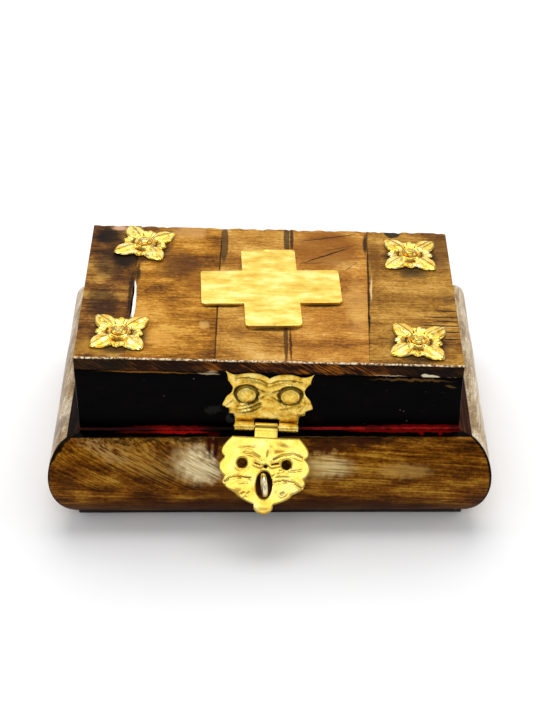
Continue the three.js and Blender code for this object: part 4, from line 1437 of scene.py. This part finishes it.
panelTones = {
    "front": {"tones": ("241001", "5a2f02", "86500a", "b28229"), "fibre": (24, 1.4, 0.6), "turn": (0, 4, 0),
              "second": {"turn": (0, 32, 0),
                         "where": {"at": (-44, -50, 30), "size": (44, 60, 15), "edge": 0.4, "ragged": 4}},
              "cloud": (15, 9, 6), "mix": (0.4, 0.4, 0.2), "gloss": 0.34, "shine": 0.03, "lines": 0.6,
              "pores": 0.3, "marks": [
                  # Pale patches left of the clasp: pale fibre in the bone, painted brighter as the highlight of
                  # the lamps on the curved front
                  patch((-45, -52, 31), (24, 40, 7), "b3873a", 0.65, 4, turn=(0, 20, 0), edge=0.8,
                        streaky=True),
                  patch((-25, -52, 29), (12, 40, 9.5), "dcc086", 0.85, 4, turn=(0, 22, 0), edge=0.9),
                  patch((-23, -52, 28.5), (9, 40, 7.5), "ffeebe", 0.8, 4, turn=(0, 28, 0), edge=0.6,
                        streaky=True),
                  # Painted shadow: the bone behind the flap is painted near black, so the slot and the flap's eye
                  # holes look dark
                  patch((-1, -52, 27), (13, 40, 10), "180b02", 0.92, 4, edge=0.5),
                  patch((-0.5, -52, 20), (6, 40, 8), "050201", 1, 1, edge=0.5),
                  # The same right of the clasp: pale fibre, painted brighter as painted highlight
                  patch((17, -52, 28), (12, 40, 7), "c49c50", 0.65, 4, edge=0.9),
                  patch((21, -52, 29), (11, 40, 6), "e6cb8c", 0.85, 3, turn=(0, 8, 0), edge=0.9,
                        streaky=True),
                  patch((46, -52, 27), (12, 40, 4), "c39a52", 0.4, 3),
                  patch((-56, -48, 34), (14, 10, 3), "b08c55", 0.6, 3, turn=(0, 20, 0), streaky=True),
                  patch((0, -47, 37.6), (90, 12, 2.2), "241003", 0.85, 2.5),
                  patch((24, -47, 35.4), (18, 12, 2), "3a1806", 0.8, 3, turn=(0, -6, 0)),
                  patch((0, -48, 7), (100, 14, 10), "341300", 0.88, 2.5),
                  patch((-8, -52, 17), (22, 40, 8), "4a2404", 0.5, 4),
                  patch((-20.5, -47, 36), (1.1, 6, 4.8), "3a0803", 0.95, 0.9),
                  patch((-18.2, -47, 35.4), (1.3, 6, 5.8), "300602", 0.95, 0.9),
                  patch((-71.5, -45.8, 34.5), (1.7, 60, 5), "0a0502", 0.95, 0.9, turn=(0, 0, 135), edge=0.4),
                  patch((65, -39.25, 20), (0.75, 300, 300), "060302", 1, 0.3, turn=45),
                  patch((-65, -39.25, 20), (0.5, 300, 300), "0d0603", 0.9, 0.4, turn=135),
              ]},
    "rear": {"tones": ("2c1502", "613506", "8b5610", "b5852f"), "fibre": (24, 1.4, 0.6), "turn": (0, -3, 0),
             "cloud": (15, 9, 6), "mix": (0.5, 0.4, 0.1), "gloss": 0.34, "shine": 0.05, "lines": 0.6,
             "pores": 0.3, "marks": [
                 patch((10, 48, 37.6), (90, 12, 2.2), "241003", 0.8, 2.5),
                 patch((0, 48, 7), (100, 14, 9), "6a3306", 0.6, 2.5),
                 patch((-26, 52, 26), (26, 40, 8), "d9b66c", 0.6, 5, turn=(0, -10, 0), edge=0.9,
                       streaky=True),
                 patch((65, 39.25, 20), (0.6, 300, 300), "060302", 0.9, 0.3, turn=135),
                 patch((-65, 39.25, 20), (0.6, 300, 300), "060302", 0.9, 0.3, turn=45),
             ]},
    # The end panels' tones are painted paler than their bone, as painted highlight of the light grazing the ends
    "left": {"tones": ("5f4427", "9b7a4f", "c7ac82", "ece0c8"), "fibre": (1.4, 14, 0.7), "turn": (6, 0, 0),
             "cloud": (9, 15, 6), "gloss": 0.26, "shine": 0.4, "lines": 0.5, "pores": 0.4, "marks": [
                 patch((-74, 0, 4), (14, 80, 8), "7b5a36", 0.5, 3),
                 patch((-65, -39.25, 20), (0.7, 300, 300), "0d0603", 1, 0.4, turn=135),
                 patch((-73, -34, 30), (8, 6, 12), "6b5138", 0.7, 3),
             ]},
    # painted paler too, as painted highlight of the grazing light
    "right": {"tones": ("6b4f2f", "a98a5e", "d4bc93", "f4ead6"), "fibre": (1.4, 14, 0.7), "turn": (-6, 0, 0),
              "cloud": (9, 15, 6), "gloss": 0.26, "shine": 0.4, "lines": 0.5, "pores": 0.4, "marks": [
                  patch((74, 0, 4), (14, 80, 8), "7b5a36", 0.5, 3),
                  patch((65, -39.25, 20), (0.8, 300, 300), "060302", 1, 0.3, turn=45),
              ]},
}


def makeBody():
    for name, turn in sides:
        makeBonePanel(name, turn, boneLook(name + "PanelBone", panelTones[name]))
    print("bone panels done")
    black = blackLook("ledgeBlack", blackPaint["ledge"])
    brown = woodLook("ledgeBrown", ("140702", "38190a", "5a3114"), (1.2, 14, 2), shine=0.05)
    darkBrown = woodLook("ledgeDarkBrown", ("080402", "180b05", "34200f"), (1.2, 14, 2), shine=0.05)
    for (name, turn), look in zip(sides[:2] + sides[3:], (black, brown, darkBrown)):
        makeRim(name, turn, look)
    dress("rim_rear", black)
    rawAcross = woodLook("rawWood", ("8a6336", "b58d5f", "d0ae80"), (20, 1.2, 1.6), gloss=0.75)
    for name, turn in sides:
        dress("wall_" + name, rawAcross)
    baseLook = woodLook("baseWood", ("080403", "1d0e06", "3b200e"), (22, 1.6, 1.2), gloss=0.4, chips=0.8)
    makeFootBoard(baseLook)
    lining = feltLook("liningFelt", False)
    edging = feltLook("edgeFelt", True)
    dress("body_lining", lining)
    for name, turn in sides:
        makeFeltStrip("felt_edge_" + name, "felt_" + name, edging)
    print("body done")
    return lining


# Painted shadow of the cross and the rosettes on the slabs
paintedShadow = {
    "paint": "140a03",
    "crossEdges": [(1.2, -23.2, 10.8), (-16.6, -10.7, 8.2), (17.8, -9.1, 8.2)],  # x, y, half length
    "crossWide": 1,
    "rosetteWide": 11.2,
    "rosetteFront": 1.4,
}


def paintedShadowMarks():
    # Painted shadow: dark marks on the slabs along the cross's front edges and round the rosettes, for the shade
    # they cast
    low, high = span("cross_plate")
    middle = (low + high) / 2
    marks = [slabMark((middle.x + x, middle.y + y), (half, paintedShadow["crossWide"]), paintedShadow["paint"], 0.85, 0.4,
                      turn=3, edge=0.4) for x, y, half in paintedShadow["crossEdges"]]
    for name in rosette["turnOf"]:
        low, high = span("rosette_pin_" + name)
        at = ((low.x + high.x) / 2, (low.y + high.y) / 2 - paintedShadow["rosetteFront"])
        wide = paintedShadow["rosetteWide"]
        marks.append(slabMark(at, (wide, wide), paintedShadow["paint"], 0.8, 1, edge=0.3))
    return marks


def makeLid(lining):
    black = blackLook("lidBlack", blackPaint["lid"])
    makeLidBoard("lid_board_front", "lid_wall_front", black, 0)
    makeLidBoard("lid_board_left", "lid_wall_left", black, 1)
    makeLidBoard("lid_board_right", "lid_wall_right", black, 1)
    dress("lid_wall_rear", black)
    dress("lid_lining", lining)
    dress("lid_top_board", woodLook("roofBoard", ("0e0703", "1c0f06", "301a0b"), (14, 1.2, 1.2), gloss=0.8))
    ends = sawnLook("sawnEnd")
    arris = arrisLook("wornArris")
    # painted shadow of the cross and rosettes, laid into every slab's colour
    castShadows = paintedShadowMarks()
    for number, values in enumerate(slabTones, 1):
        bone = boneLook("slabBone%d" % number, {**values, "marks": values["marks"] + castShadows})
        makeSlab(number, [bone, ends, arris])
    print("slabs done")


def makeBrass():
    looks = {name: brassLook(name, values) for name, values in brasses.items()}
    makeCross(looks["crossBrass"])
    for seed, name in enumerate(("front_left", "rear_left", "rear_right", "front_right")):
        makeRosette(name, looks["stampedBrass"], seed * 7.3)
        makeRosettePin(name, looks["stampedBrass"])
    print("rosettes done")
    makeClaspPlate(looks["plateBrass"])
    makeClaspNail("left", -1, looks["plateBrass"])
    makeClaspNail("right", 1, looks["plateBrass"])
    makeClaspPin(looks["flapBrass"])
    makeFlap(looks["flapBrass"])
    makeEye(looks["wireBrass"])
    print("clasp done")
    for name in ("left", "right"):
        makeHinge(name, looks["hingeBrass"])


def makeFloor():
    look, tree, shader = newLook("floorPaper")
    where = add(tree, "TexCoord").outputs["Object"]
    fibres = add(tree, "TexNoise", {"Vector": where, "Scale": 3}).outputs["Fac"]
    colour = over(tree, studio["floorPaint"], "ffffff", fibres)
    coat(tree, shader, colour, 0.9, 0.1)
    bm = bmesh.new()
    bmesh.ops.create_grid(bm, x_segments=2, y_segments=2, size=studio["floorSize"])
    mesh = bpy.data.meshes.new("floor")
    bm.to_mesh(mesh)
    bm.free()
    mesh.materials.append(look)
    floor = bpy.data.objects.new("floor", mesh)
    bpy.context.scene.collection.objects.link(floor)


makeCamera()
makeStudio()
makeFloor()
makeLid(makeBody())
makeBrass()

print("all pieces made")
